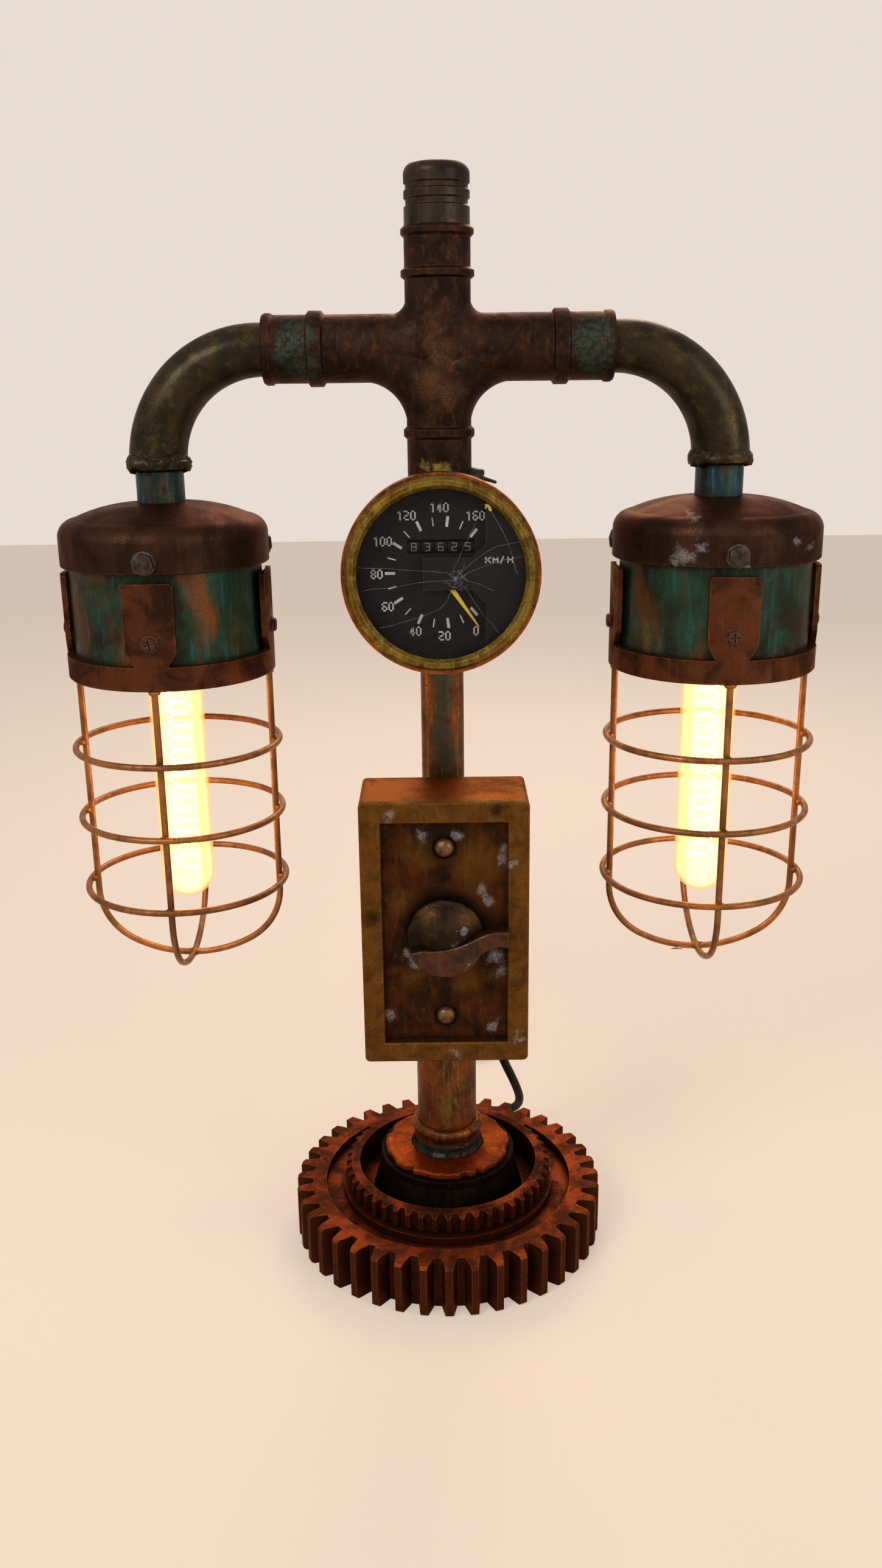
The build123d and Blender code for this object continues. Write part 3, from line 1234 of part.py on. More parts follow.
with BuildPart() as gauge_movement:
    with BuildSketch(gauge_face_plane.offset(ledge)):
        Circle(can_radius - gauge_can_wall - movement_play)
    extrude(amount=-movement_frame_thickness)
    with BuildSketch(gauge_face_plane.offset(ledge)):
        with Locations((0, (movement_top - movement_drop) / 2)):
            Rectangle(movement_width, movement_top + movement_drop)
    extrude(amount=-(ledge - can_floor))
    with BuildSketch(gauge_face_plane.offset(ledge)):
        with Locations((0, odometer_rise)):
            Rectangle(odometer_digits * odometer_pitch + 2 * body_gap, 2 * (drum_radius + body_gap))
    extrude(amount=-2 * (drum_radius + body_gap), mode=Mode.SUBTRACT)
    with BuildSketch(gauge_face_plane.offset(ledge)):
        Circle(needle_spindle_diameter / 2 + running_fit)
    extrude(amount=-needle_spindle_length, mode=Mode.SUBTRACT)
    with Locations((0, -drum_axis_depth, drum_height)):
        Cylinder(odometer_axle_diameter / 2, movement_width - movement_axle_inset, rotation=(0, 90, 0))

with BuildPart() as odometer_drums:
    for digit in range(odometer_digits):
        offset_x = (digit - (odometer_digits - 1) / 2) * odometer_pitch
        with BuildSketch(Plane.YZ.offset(offset_x - odometer_drum_width / 2)):
            with Locations((-drum_axis_depth, drum_height)):
                Circle(drum_radius)
                Circle(odometer_axle_diameter / 2 + running_fit, mode=Mode.SUBTRACT)
        extrude(amount=odometer_drum_width)

with BuildPart() as gauge_clamp:  # pinch band on the post with a pad for the can
    post_radius = upper_post_diameter / 2
    band_radius = post_radius + gauge_clamp_thickness
    ear_end = band_radius + gauge_clamp_ear
    with BuildSketch(Plane.XY.offset(gauge_height - gauge_clamp_height / 2)):
        Circle(band_radius)
        with Locations((0, -gauge_back / 2)):
            Rectangle(gauge_clamp_height, gauge_back)
        with Locations((0, ear_end / 2)):
            Rectangle(2 * gauge_clamp_thickness + gauge_clamp_slot, ear_end)
        Circle(post_radius + slip_fit, mode=Mode.SUBTRACT)
        with Locations((0, ear_end / 2)):
            Rectangle(gauge_clamp_slot, ear_end, mode=Mode.SUBTRACT)
    extrude(amount=gauge_clamp_height)
    bolt_place = (0, ear_end - gauge_clamp_ear / 2, gauge_height)
    band_width = 2 * gauge_clamp_thickness + gauge_clamp_slot
    with Locations(bolt_place):
        Cylinder(gauge_clamp_bolt / 2, band_width + 2 * gauge_clamp_head_height, rotation=(0, 90, 0))
        for end in (-1, 1):
            with Locations((end * (band_width + gauge_clamp_head_height - cut_margin) / 2, 0, 0)):
                Cylinder(gauge_clamp_bolt_head / 2, gauge_clamp_head_height, rotation=(0, 90, 0))

# ================================================================ wiring inside the pipes
with BuildPart() as wiring:
    for side in (-1, 1):
        offset_x = side * wire_lead_offset
        with BuildLine() as lead_route:
            FilletPolyline((offset_x, -box_back - box_wall - lead_tail, box_centre),
                           (offset_x, 0, box_centre), (offset_x, 0, arm_height),
                           (side * head_x, 0, arm_height),
                           (side * head_x, 0, holder_web_top + lead_end_gap),
                           radius=[lead_bend_radius, lead_arm_bend_radius, elbow_radius])
        with BuildSketch(Plane(origin=lead_route.line @ 0, z_dir=lead_route.line % 0)):
            Circle(wire_lead_diameter / 2)
        sweep(path=lead_route.line)

# ================================================================ supply cord
cord_points = [
    (gland_x, gland_tip, gland_z), (gland_x, 24.0, gland_z), (30.0, 50.0, 152.0),
    (32.0, 66.0, 116.0), (38.0, 79.0, 80.0), (50.0, 93.0, 48.0), (55.6, 105.5, 25.3),
    (48.6, 117.7, 10.3), (32.8, 128.7, cord_rest), (14.4, 136.5, cord_rest),
    (2.7, 153.9, cord_rest), (1.0, 184.0, cord_rest), (-11.5, 214.0, cord_rest)]


def bend_radii(points):
    """The largest arc that the two runs at each inner point leave room for."""
    radii = []
    for before, point, after in zip(points, points[1:], points[2:]):
        run_in = Vector(*point) - Vector(*before)
        run_out = Vector(*after) - Vector(*point)
        turn = radians(run_in.get_angle(run_out))
        radii.append(bend_share * min(run_in.length, run_out.length) / tan(turn / 2))
    return radii


cord_radii = bend_radii(cord_points)
print("cord bend radii:", [round(radius, 1) for radius in cord_radii])
with BuildPart() as power_cord:
    with BuildLine() as cord_route:
        FilletPolyline(*cord_points, radius=cord_radii)
    with BuildSketch(Plane(origin=cord_route.line @ 0, z_dir=cord_route.line % 0)):
        Circle(cord_diameter / 2)
    sweep(path=cord_route.line)
cord_section = pi * cord_diameter ** 2 / 4
cord_length = sum(edge.length for edge in cord_route.line.edges())
print("cord tube length:", round(cord_length, 1),
      "volume over section:", round(power_cord.part.volume / cord_section, 1))

cord_end = Vector(*cord_points[-1])
heading = (cord_end - Vector(*cord_points[-2]))
heading = Vector(heading.X, heading.Y, 0).normalized()
coil_joint = cord_end + heading * coil_lead_length
coil_centre = coil_joint + Vector(heading.Y, -heading.X, 0) * coil_outer_turn_radius
coil_height = 2 * cord_diameter + cord_rest - cord_diameter / 2
plug_x = coil_centre.X - coil_outer_turn_radius
plug_back = coil_centre.Y + coil_lead_length
with BuildPart() as cord_coil:
    with BuildSketch():
        with Locations((coil_centre.X, coil_centre.Y)):
            Circle(coil_outer_turn_radius + cord_diameter / 2)
            Circle(coil_inner_turn_radius - cord_diameter / 2, mode=Mode.SUBTRACT)
    extrude(amount=coil_height)
    with BuildSketch(Plane(origin=cord_end, z_dir=heading)):
        Circle(cord_diameter / 2)
    extrude(amount=coil_lead_length)
    with BuildSketch(Plane(origin=(plug_x, plug_back, plug_thickness / 2), z_dir=(0, -1, 0))):
        Circle(cord_diameter / 2)
    extrude(amount=coil_lead_length)

plug_plane = Plane(origin=(plug_x, plug_back, plug_thickness / 2), x_dir=(-1, 0, 0), z_dir=(0, 1, 0))
with BuildPart() as plug_body:
    with BuildSketch(plug_plane):
        Circle(cord_diameter / 2 + plug_relief_wall)
    with BuildSketch(plug_plane.offset(plug_relief_length)):
        Circle(plug_relief_diameter / 2)
    loft()
    with BuildSketch(plug_plane.offset(plug_relief_length)):
        RectangleRounded(plug_width - plug_nose_taper, plug_thickness - plug_nose_thinner, plug_nose_corner)
    with BuildSketch(plug_plane.offset(plug_relief_length + plug_length)):
        RectangleRounded(plug_width, plug_thickness, plug_corner)
    loft()

with BuildPart() as plug_pins:
    with BuildSketch(plug_plane.offset(plug_relief_length + plug_length)):
        with Locations((-plug_pin_spacing / 2, 0), (plug_pin_spacing / 2, 0)):
            Circle(plug_pin_diameter / 2)
    extrude(amount=plug_pin_length)

# ================================================================ written pieces
pieces = {
    "base_gear": base_gear, "dog_ring": dog_ring, "hub_drum": hub_drum, "hub_plate": hub_plate,
    "foot_collar": foot_collar, "post_lower": post_lower, "post_reducer": post_reducer,
    "post_upper": post_upper, "cross_fitting": cross_fitting, "top_cap": top_cap,
    "toggle_switch": toggle_switch, "toggle_lever": toggle_lever, "cap_bolts": cap_bolts,
    "strap_screws": strap_screws, "box_shell": box_shell, "box_frame": box_frame,
    "switch_panel": switch_panel, "panel_screws": panel_screws, "switch_knob": switch_knob,
    "switch_body": switch_body, "box_clamps": box_clamps, "clamp_screws": clamp_screws,
    "wire_nipple": wire_nipple, "cable_gland": cable_gland, "gauge_can": gauge_can,
    "gauge_bezel": gauge_bezel, "gauge_glass": gauge_glass, "gauge_dial": gauge_dial,
    "dial_bridge": dial_bridge, "gauge_needle": gauge_needle, "gauge_movement": gauge_movement,
    "odometer_drums": odometer_drums, "gauge_clamp": gauge_clamp, "wiring": wiring,
    "power_cord": power_cord, "cord_coil": cord_coil, "plug_body": plug_body,
    "plug_pins": plug_pins,
}
for piece_name, piece in pieces.items():
    write_piece(piece, piece_name)
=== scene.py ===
"""Looks of the pipe table lamp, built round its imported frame. Metres, X right, Y back, Z up."""

import logging
import math
import random
from dataclasses import dataclass
from enum import Enum
from functools import reduce
from typing import Callable, Iterable, Iterator, Optional, Sequence, Union

import bmesh
import bpy
from mathutils import Matrix, Vector, noise

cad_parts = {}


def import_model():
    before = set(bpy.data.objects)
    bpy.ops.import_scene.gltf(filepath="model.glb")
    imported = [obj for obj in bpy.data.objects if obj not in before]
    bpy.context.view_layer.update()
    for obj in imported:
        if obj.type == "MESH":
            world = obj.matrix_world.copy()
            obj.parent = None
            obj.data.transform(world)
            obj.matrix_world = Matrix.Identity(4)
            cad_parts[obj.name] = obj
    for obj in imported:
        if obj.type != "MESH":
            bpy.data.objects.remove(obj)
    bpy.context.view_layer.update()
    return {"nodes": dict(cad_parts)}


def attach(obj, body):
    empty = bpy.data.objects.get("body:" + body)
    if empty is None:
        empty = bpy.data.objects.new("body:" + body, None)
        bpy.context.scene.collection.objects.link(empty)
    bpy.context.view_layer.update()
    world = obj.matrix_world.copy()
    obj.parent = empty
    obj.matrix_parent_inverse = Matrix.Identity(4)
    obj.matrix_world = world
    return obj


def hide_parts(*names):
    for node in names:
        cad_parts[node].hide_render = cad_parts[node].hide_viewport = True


LOG = logging.getLogger("lamp")
MM = 0.001
HEAD_REACH = 158.0
SIDES = ((-1, "left"), (1, "right"))

Colour = tuple[float, float, float]
Point = tuple[float, float, float]
Spot = tuple[float, float]
Quad = tuple[float, float, float, float]
Operand = Union["Value", float]

EVEN: Point = (1.0, 1.0, 1.0)
UP: Point = (0, 0, 1)
BACK: Point = (0, 1, 0)


def linear(colour: Colour) -> tuple[float, float, float, float]:
    """Scene-linear RGBA of a colour given as it looks on a screen, 0 to 255 (the sRGB curve)."""
    shares = [channel / 255 for channel in colour]
    return (*[c / 12.92 if c <= 0.04045 else ((c + 0.055) / 1.055) ** 2.4 for c in shares], 1.0)


def polar(radius: float, angle: float) -> Spot:
    """Point on a circle at an angle in radians."""
    return radius * math.cos(angle), radius * math.sin(angle)


# ---------------------------------------------------------------- shader maths
def operation(name: str, reflected: bool = False) -> Callable[["Value", "Operand"], "Value"]:
    """A method that adds one Math node over a value and an operand, or the reverse."""

    def method(value: "Value", other: "Operand") -> "Value":
        """Add the node."""
        pair = (other, value) if reflected else (value, other)
        return value.nodes.node("ShaderNodeMath", {"operation": name}, dict(enumerate(pair)))

    return method


class Value:
    """One socket of a node tree that takes part in Python expressions."""

    __add__ = operation("ADD")
    __sub__ = operation("SUBTRACT")
    __rsub__ = operation("SUBTRACT", reflected=True)
    __mul__ = operation("MULTIPLY")
    __pow__ = operation("POWER")
    above = operation("GREATER_THAN")
    highest = operation("MAXIMUM")

    def __init__(self, nodes: "Nodes", socket: bpy.types.NodeSocket) -> None:
        """Keep the socket and the tree that it belongs to."""
        self.nodes = nodes
        self.socket = socket

    def spread(self, low: float, high: float, start: float = 0.0, end: float = 1.0) -> "Value":
        """Map low to start and high to end, smoothly and clamped.

        Args:
            low: value that gives start.
            high: value that gives end.
            start: result at low.
            end: result at high.

        Returns:
            The mapped value.
        """
        return self.nodes.node("ShaderNodeMapRange", {"interpolation_type": "SMOOTHSTEP"},
                               {0: self, 1: low, 2: high, 3: start, 4: end})


class Nodes:
    """A node tree, with one way to add any node."""

    def __init__(self, tree: bpy.types.NodeTree) -> None:
        """Keep the tree."""
        self.tree = tree

    def feed(self, socket: bpy.types.NodeSocket, value: object) -> None:
        """Link a value to a socket, or set the socket's own number."""
        if isinstance(value, Value):
            self.tree.links.new(value.socket, socket)
        else:
            socket.default_value = value

    def node(self, kind: str, settings: Optional[dict] = None, values: Optional[dict] = None,
             out: Union[int, str] = 0) -> Value:
        """Add a node of any kind.

        Args:
            kind: the node's type.
            settings: its properties, set before its sockets.
            values: numbers, colours or Values by socket name or place.
            out: the output to return.

        Returns:
            The chosen output as a Value.
        """
        made = self.tree.nodes.new(kind)
        for key, setting in (settings or {}).items():
            setattr(made, key, setting)
        for key, value in (values or {}).items():
            self.feed(made.inputs[key], value)
        return Value(self, made.outputs[out])

    def seen(self) -> Value:
        """1 for rays of the camera and rays that metal and glass send on, else 0."""
        rays = [self.node("ShaderNodeLightPath", out=f"Is {kind} Ray")
                for kind in ("Camera", "Glossy", "Transmission")]
        return reduce(Value.highest, rays)

    def either(self, share: Value, first: Value, second: Value,
               socket: bpy.types.NodeSocket) -> None:
        """Feed a socket with two shaders, mixed by a share of the second."""
        self.feed(socket, self.node("ShaderNodeMixShader", None, {0: share, 1: first, 2: second}))


@dataclass(frozen=True)
class Grain:
    """A recipe for noise: the size of its features and the levels that become 0 and 1."""

    size: float
    low: float
    high: float
    detail: float = 3.0
    rough: float = 0.55
    warp: float = 0.0


class Shader(Nodes):
    """The nodes of one material round a Principled shader."""

    EDGE_TURN = (0.015, 0.16)
    OPEN_AIR = (0.25, 0.85)

    def __init__(self, name: str) -> None:
        """Start a material with a Principled shader on its output."""
        self.material = bpy.data.materials.new(name)
        self.material.use_nodes = True
        super().__init__(self.material.node_tree)
        self.tree.nodes.clear()
        self.output = self.tree.nodes.new("ShaderNodeOutputMaterial")
        self.surface = self.tree.nodes.new("ShaderNodeBsdfPrincipled")
        self.tree.links.new(self.surface.outputs[0], self.output.inputs["Surface"])
        self.place = self.node("ShaderNodeTexCoord", out="Object")

    def noise(self, size: float, detail: float = 3.0, rough: float = 0.55,
              scale: Point = EVEN, warp: float = 0.0) -> Value:
        """Noise whose features are about size metres across."""
        spot = self.node("ShaderNodeVectorMath", {"operation": "MULTIPLY"},
                         {0: self.place, 1: scale})
        return self.node("ShaderNodeTexNoise", None,
                         {"Vector": spot, "Scale": 1.0 / size, "Detail": detail,
                          "Roughness": rough, "Distortion": warp})

    def patchy(self, grain: Grain, scale: Point = EVEN) -> Value:
        """Noise of a recipe, cut to 0 to 1 between its levels."""
        made = self.noise(grain.size, grain.detail, grain.rough, scale, grain.warp)
        return made.spread(grain.low, grain.high)

    def cells(self, size: float) -> Value:
        """Distance within cells of about size metres, in cell widths."""
        return self.node("ShaderNodeTexVoronoi", None,
                         {"Vector": self.place, "Scale": 1.0 / size}, out="Distance")

    def mix(self, share: Operand, first: object, second: object) -> Value:
        """Mix two colours by a share of the second."""
        tints = [tint if isinstance(tint, Value) else linear(tint) for tint in (first, second)]
        return self.node("ShaderNodeMix", {"data_type": "RGBA"},
                         {0: share, 6: tints[0], 7: tints[1]}, out=2)

    def axis(self, name: str) -> Value:
        """One coordinate, "X", "Y" or "Z", in metres."""
        return self.node("ShaderNodeSeparateXYZ", None, {0: self.place}, out=name)

    def normal(self) -> Value:
        """The surface normal."""
        return self.node("ShaderNodeNewGeometry", out="Normal")

    def upright(self) -> Value:
        """How far the surface faces up: 1 on level tops, 0 on walls."""
        return self.node("ShaderNodeSeparateXYZ", None, {0: self.normal()}, out="Z")

    def rubbed_edges(self, radius: float) -> Value:
        """1 on convex and concave edges within the radius, fading to 0."""
        rounded = self.node("ShaderNodeBevel", {"samples": 3}, {"Radius": radius})
        along = self.node("ShaderNodeVectorMath", {"operation": "DOT_PRODUCT"},
                          {0: rounded, 1: self.normal()}, out="Value")
        return (1.0 - along).spread(*self.EDGE_TURN)

    def corners(self, reach: float) -> Value:
        """1 in corners that open air hardly reaches, 0 on open faces."""
        open_share = self.node("ShaderNodeAmbientOcclusion", {"samples": 3},
                               {"Distance": reach}, out="AO")
        return (1.0 - open_share).spread(*self.OPEN_AIR)

    def relief(self, height: Value, depth: float, rounding: float = 0.0) -> None:
        """Bump the surface and round its edges.

        Args:
            height: height of 0 to 1.
            depth: what a height of 1 stands for, in metres.
            rounding: radius that edges look rounded by, in metres.
        """
        values = {"Height": height, "Distance": depth}
        if rounding > 0:
            values["Normal"] = self.node("ShaderNodeBevel", {"samples": 4}, {"Radius": rounding})
        self.set(Normal=self.node("ShaderNodeBump", None, values))

    def set(self, **sockets: object) -> None:
        """Feed sockets of the surface, named with underscores for spaces."""
        for key, value in sockets.items():
            self.feed(self.surface.inputs[key.replace("_", " ")], value)


# ---------------------------------------------------------------- finishes
RUNS = Grain(3.2 * MM, 0.50, 0.72, 4.0, 0.6, 0.2)
SPECKLE = Grain(0.55 * MM, 0.42, 0.70, 2.0, 0.7)
SPOT_FIELDS = Grain(3 * MM, 0.45, 0.6)
EDGE_GAPS = Grain(2.5 * MM, 0.30, 0.62)
FLECKS = Grain(1.6 * MM, 0.56, 0.62, 4.0, 0.7)
FLECK_FIELDS = Grain(21 * MM, 0.61, 0.68, 2.0)
GILT_GAPS = Grain(2.6 * MM, 0.42, 0.58, 4.0, 0.65, 0.3)
SOOT_HOLES = Grain(3 * MM, 0.42, 0.58, 5.0, 0.7)
CRUMBS = Grain(0.45 * MM, 0.40, 0.60, 5.0, 0.7)
MOTTLE = Grain(9 * MM, 0.35, 0.65, 4.0)
SMEARS = Grain(7 * MM, 0.45, 0.75, 4.0, 0.6)
# Near-black of the painted shade in corners.
GRIME: Colour = (14, 10, 8)
SPECK: Colour = (14, 11, 8)
FLECK: Colour = (196, 196, 200)
DUST: Colour = (120, 105, 88)


@dataclass(frozen=True)
class AgedMetal:
    """Metal with blotched patina, run-down streaks, painted shade in corners and rubbed edges."""

    name: str
    deep: Colour
    body: Colour
    bright: Colour
    rubbed: Colour
    metallic: float = 0.85
    smooth: float = 0.34
    coarse: float = 0.60
    blotch: float = 22 * MM
    streak: float = 0.35
    streak_stretch: Point = (1.0, 1.0, 0.10)
    grime: float = 0.55
    edge: float = 0.7 * MM
    pitting: float = 0.25
    cast: float = 0.0
    tint: Optional[Colour] = None
    tint_share: float = 0.0
    # Share of painted shade on upright faces.
    sides: float = 0.0
    specks: float = 0.0
    flecks: float = 0.0
    lacquer: float = 0.0

    WEAR = 0.6
    BLOTCH_LEVELS = (0.36, 0.64, 5.0, 0.62, 0.6)
    CLOUD_SIZE = 1.7
    CLOUD_LEVELS = (0.50, 0.66, 4.0, 0.6, 0.9)
    CLOUD_STRETCH = (1.0, 1.0, 0.45)
    SPECKLE_SHARE, SPECKLE_ROUGH, SPECKLE_HEIGHT = 0.35, 0.10, 0.20
    CORNER_ROUGH = 0.15
    LACQUER_ROUGH = 0.25
    TOPS = (0.3, 0.8)
    SPOT_SIZE = 1.7 * MM
    SPOT_EDGE = (0.10, 0.26)
    PIT_SIZE = 1.6 * MM
    PIT_EDGE = 0.32
    CAST_GRAIN = (3.4 * MM, 3.0, 0.6)
    CORNER_REACH = 9 * MM
    RELIEF = 0.35 * MM
    ROUNDING = 0.45 * MM

    def marked(self, shader: Shader, colour: Value) -> Value:
        """Hook for marks at set places; plain metal has none."""
        return colour

    def _patina(self, shader: Shader, blotches: Value, speckle: Value) -> Value:
        """Colour of the metal before grime and wear."""
        colour = shader.mix(blotches, self.deep, self.body)
        runs = shader.patchy(RUNS, self.streak_stretch)
        colour = shader.mix(runs * self.streak, colour, self.bright)
        if self.tint is not None:
            clouds = Grain(self.blotch * self.CLOUD_SIZE, *self.CLOUD_LEVELS)
            share = shader.patchy(clouds, self.CLOUD_STRETCH) * self.tint_share
            colour = shader.mix(share, colour, self.tint)
        colour = shader.mix(speckle * self.SPECKLE_SHARE, colour, self.deep)
        # Painted shade: upright faces go towards the deep colour, level tops stay lighter.
        if self.sides > 0:
            walls = 1.0 - shader.upright().spread(*self.TOPS)
            colour = shader.mix(walls * self.sides, colour, self.deep)
        colour = self.marked(shader, colour)
        if self.specks > 0:
            spots = 1.0 - shader.cells(self.SPOT_SIZE).spread(*self.SPOT_EDGE)
            colour = shader.mix(spots * shader.patchy(SPOT_FIELDS) * self.specks, colour, SPECK)
        return colour

    def build(self) -> bpy.types.Material:
        """Make the material."""
        shader = Shader(self.name)
        blotches = shader.patchy(Grain(self.blotch, *self.BLOTCH_LEVELS))
        speckle = shader.patchy(SPECKLE)
        corner = shader.corners(self.CORNER_REACH)
        colour = self._patina(shader, blotches, speckle)
        # Painted shade: corners that open air hardly reaches go towards near-black.
        colour = shader.mix(corner * self.grime, colour, GRIME)
        edges = shader.rubbed_edges(self.edge) * shader.patchy(EDGE_GAPS)
        colour = shader.mix(edges * self.WEAR, colour, self.rubbed)
        if self.flecks > 0:
            chalk = shader.patchy(FLECKS) * shader.patchy(FLECK_FIELDS)
            colour = shader.mix(chalk * self.flecks, colour, FLECK)
        rough = blotches.spread(0.0, 1.0, self.coarse, self.smooth)
        rough = rough + speckle * self.SPECKLE_ROUGH + corner * self.CORNER_ROUGH
        pits = shader.cells(self.PIT_SIZE).spread(0.0, self.PIT_EDGE) * self.pitting
        height = pits + speckle * self.SPECKLE_HEIGHT
        if self.cast > 0:
            height = height + shader.noise(*self.CAST_GRAIN) * self.cast
        shader.relief(height, self.RELIEF, self.ROUNDING)
        half_rubbed = tuple((share + 255) / 2 for share in self.rubbed)
        shader.set(Base_Color=colour, Roughness=rough, Metallic=self.metallic,
                   Coat_Weight=self.lacquer, Coat_Roughness=self.LACQUER_ROUGH,
                   Specular_Tint=linear(half_rubbed))
        return shader.material


@dataclass(frozen=True)
class MarkedMetal(AgedMetal):
    """Aged metal with gilding, soot and chalk at set places of its front, which on some parts are
    painted highlight and painted shade.

    Each patch is (x, z, radius that is full, radius where it ends), in millimetres from the
    middle of the marked part.
    """

    middle: float = 0.0
    gilding: Sequence[Quad] = ()
    gilt: Colour = (112, 78, 28)
    gilt_runs: float = 0.0
    soot: Sequence[Quad] = ()
    soot_colour: Colour = (13, 10, 7)
    ragged: float = 0.0
    chalk: Sequence[Quad] = ()
    chalk_colour: Colour = (170, 170, 176)

    STRAY_GRAIN = (7 * MM, 4.0, 0.65)
    GILT_WANDER, GILT_SHARE = 16 * MM, 0.6
    SOOT_WANDER, SOOT_SHARE = 10 * MM, 0.8
    CHALK_WANDER, CHALK_SHARE = 19 * MM, 0.6

    def _patches(self, shader: Shader, patches: Sequence[Quad], wander: float) -> Value:
        """Share of the surface that lies in ragged round patches.

        Args:
            shader: the material in the making.
            patches: the patches.
            wander: how far their outlines wander, in metres.

        Returns:
            1 inside the patches, 0 outside and on the back.
        """
        across, up = shader.axis("X"), shader.axis("Z") - self.middle * MM
        stray = (shader.noise(*self.STRAY_GRAIN) - 0.5) * wander
        shares = []
        for x, z, inner, outer in patches:
            away = ((across - x * MM) ** 2.0 + (up - z * MM) ** 2.0) ** 0.5 + stray
            shares.append(away.spread(inner * MM, outer * MM, 1.0, 0.0))
        return reduce(Value.highest, shares) * (1.0 - shader.axis("Y").above(0.0))

    def marked(self, shader: Shader, colour: Value) -> Value:
        """Add gilding, soot and chalk to the colour, with painted highlight and painted shade
        among them.
        """
        if self.gilding:
            gaps = shader.patchy(GILT_GAPS, self.streak_stretch) * self.gilt_runs
            share = self._patches(shader, self.gilding, self.GILT_WANDER) * self.GILT_SHARE
            colour = shader.mix(share * (1.0 - gaps), colour, self.gilt)
        # Soot patches; on the panel those round the screws and the knob are painted shade.
        if self.soot:
            holes = shader.patchy(SOOT_HOLES) * self.ragged
            share = self._patches(shader, self.soot, self.SOOT_WANDER) * self.SOOT_SHARE
            colour = shader.mix(share * (1.0 - holes), colour, self.soot_colour)
        if self.chalk:
            crumbs = shader.patchy(CRUMBS) * self.CHALK_SHARE
            share = self._patches(shader, self.chalk, self.CHALK_WANDER)
            colour = shader.mix(share * crumbs, colour, self.chalk_colour)
        return colour


@dataclass(frozen=True)
class Moulded:
    """Moulded plastic, rubber or porcelain with faint mottling and dust in its corners."""

    name: str
    body: Colour
    mottle: Colour
    rough: float = 0.5
    grain: float = 1.2 * MM
    depth: float = 0.08 * MM
    dust: float = 0.25
    shine: float = 0.5
    # Colour of light edges; on the dial bridge it is a painted highlight.
    rubbed: Optional[Colour] = None

    MOTTLE_SHARE, MOTTLE_ROUGH = 0.6, 0.12
    CORNER_REACH = 6 * MM
    EDGE, EDGE_SHARE = 0.3 * MM, 0.6
    FINE_GRAIN = (2.0, 0.6)

    def build(self) -> bpy.types.Material:
        """Make the material."""
        shader = Shader(self.name)
        clouds = shader.patchy(MOTTLE)
        colour = shader.mix(clouds * self.MOTTLE_SHARE, self.body, self.mottle)
        colour = shader.mix(shader.corners(self.CORNER_REACH) * self.dust, colour, DUST)
        # Light edges, set only on the dial bridge: a painted edge highlight.
        if self.rubbed is not None:
            edges = shader.rubbed_edges(self.EDGE) * self.EDGE_SHARE
            colour = shader.mix(edges, colour, self.rubbed)
        shader.relief(shader.noise(self.grain, *self.FINE_GRAIN), self.depth)
        rough = clouds.spread(0.0, 1.0, self.rough, self.rough + self.MOTTLE_ROUGH)
        shader.set(Base_Color=colour, Specular_IOR_Level=self.shine, Roughness=rough)
        return shader.material


@dataclass(frozen=True)
class ClearGlass:
    """Thin clear glass with faint smears, lit from inside where glow is over 0."""

    name: str
    tint: Colour
    alpha: float
    edge: float = 0.0
    glow: float = 0.0

    CLEAN_ROUGH, SMEAR_ROUGH, SMEAR_ALPHA = 0.04, 0.16, 0.06
    SMEAR_STRETCH = (1.0, 1.0, 0.4)
    EDGE_POWER = 3.0
    CORE, RIM, CORE_EDGE = (255, 206, 130), (150, 78, 26), (0.15, 0.85)

    def build(self) -> bpy.types.Material:
        """Make the material."""
        shader = Shader(self.name)
        smear = shader.patchy(SMEARS, self.SMEAR_STRETCH)
        edge = shader.node("ShaderNodeLayerWeight", None, {"Blend": 0.5}, out="Facing")
        alpha = smear.spread(0.0, 1.0, self.alpha, self.alpha + self.SMEAR_ALPHA)
        shader.set(Base_Color=linear(self.tint), IOR=1.45,
                   Alpha=alpha + edge ** self.EDGE_POWER * self.edge,
                   Roughness=smear.spread(0.0, 1.0, self.CLEAN_ROUGH, self.SMEAR_ROUGH))
        if self.glow > 0:
            glow = shader.mix(edge.spread(*self.CORE_EDGE), self.CORE, self.RIM)
            shader.set(Emission_Color=glow, Emission_Strength=self.glow)
        return shader.material


@dataclass(frozen=True)
class Glowing:
    """Hot filament."""

    name: str
    colour: Colour
    strength: float

    def build(self) -> bpy.types.Material:
        """Make the material."""
        shader = Shader(self.name)
        shader.set(Base_Color=linear(self.colour), Emission_Color=linear(self.colour),
                   Emission_Strength=self.strength, Roughness=0.6)
        return shader.material


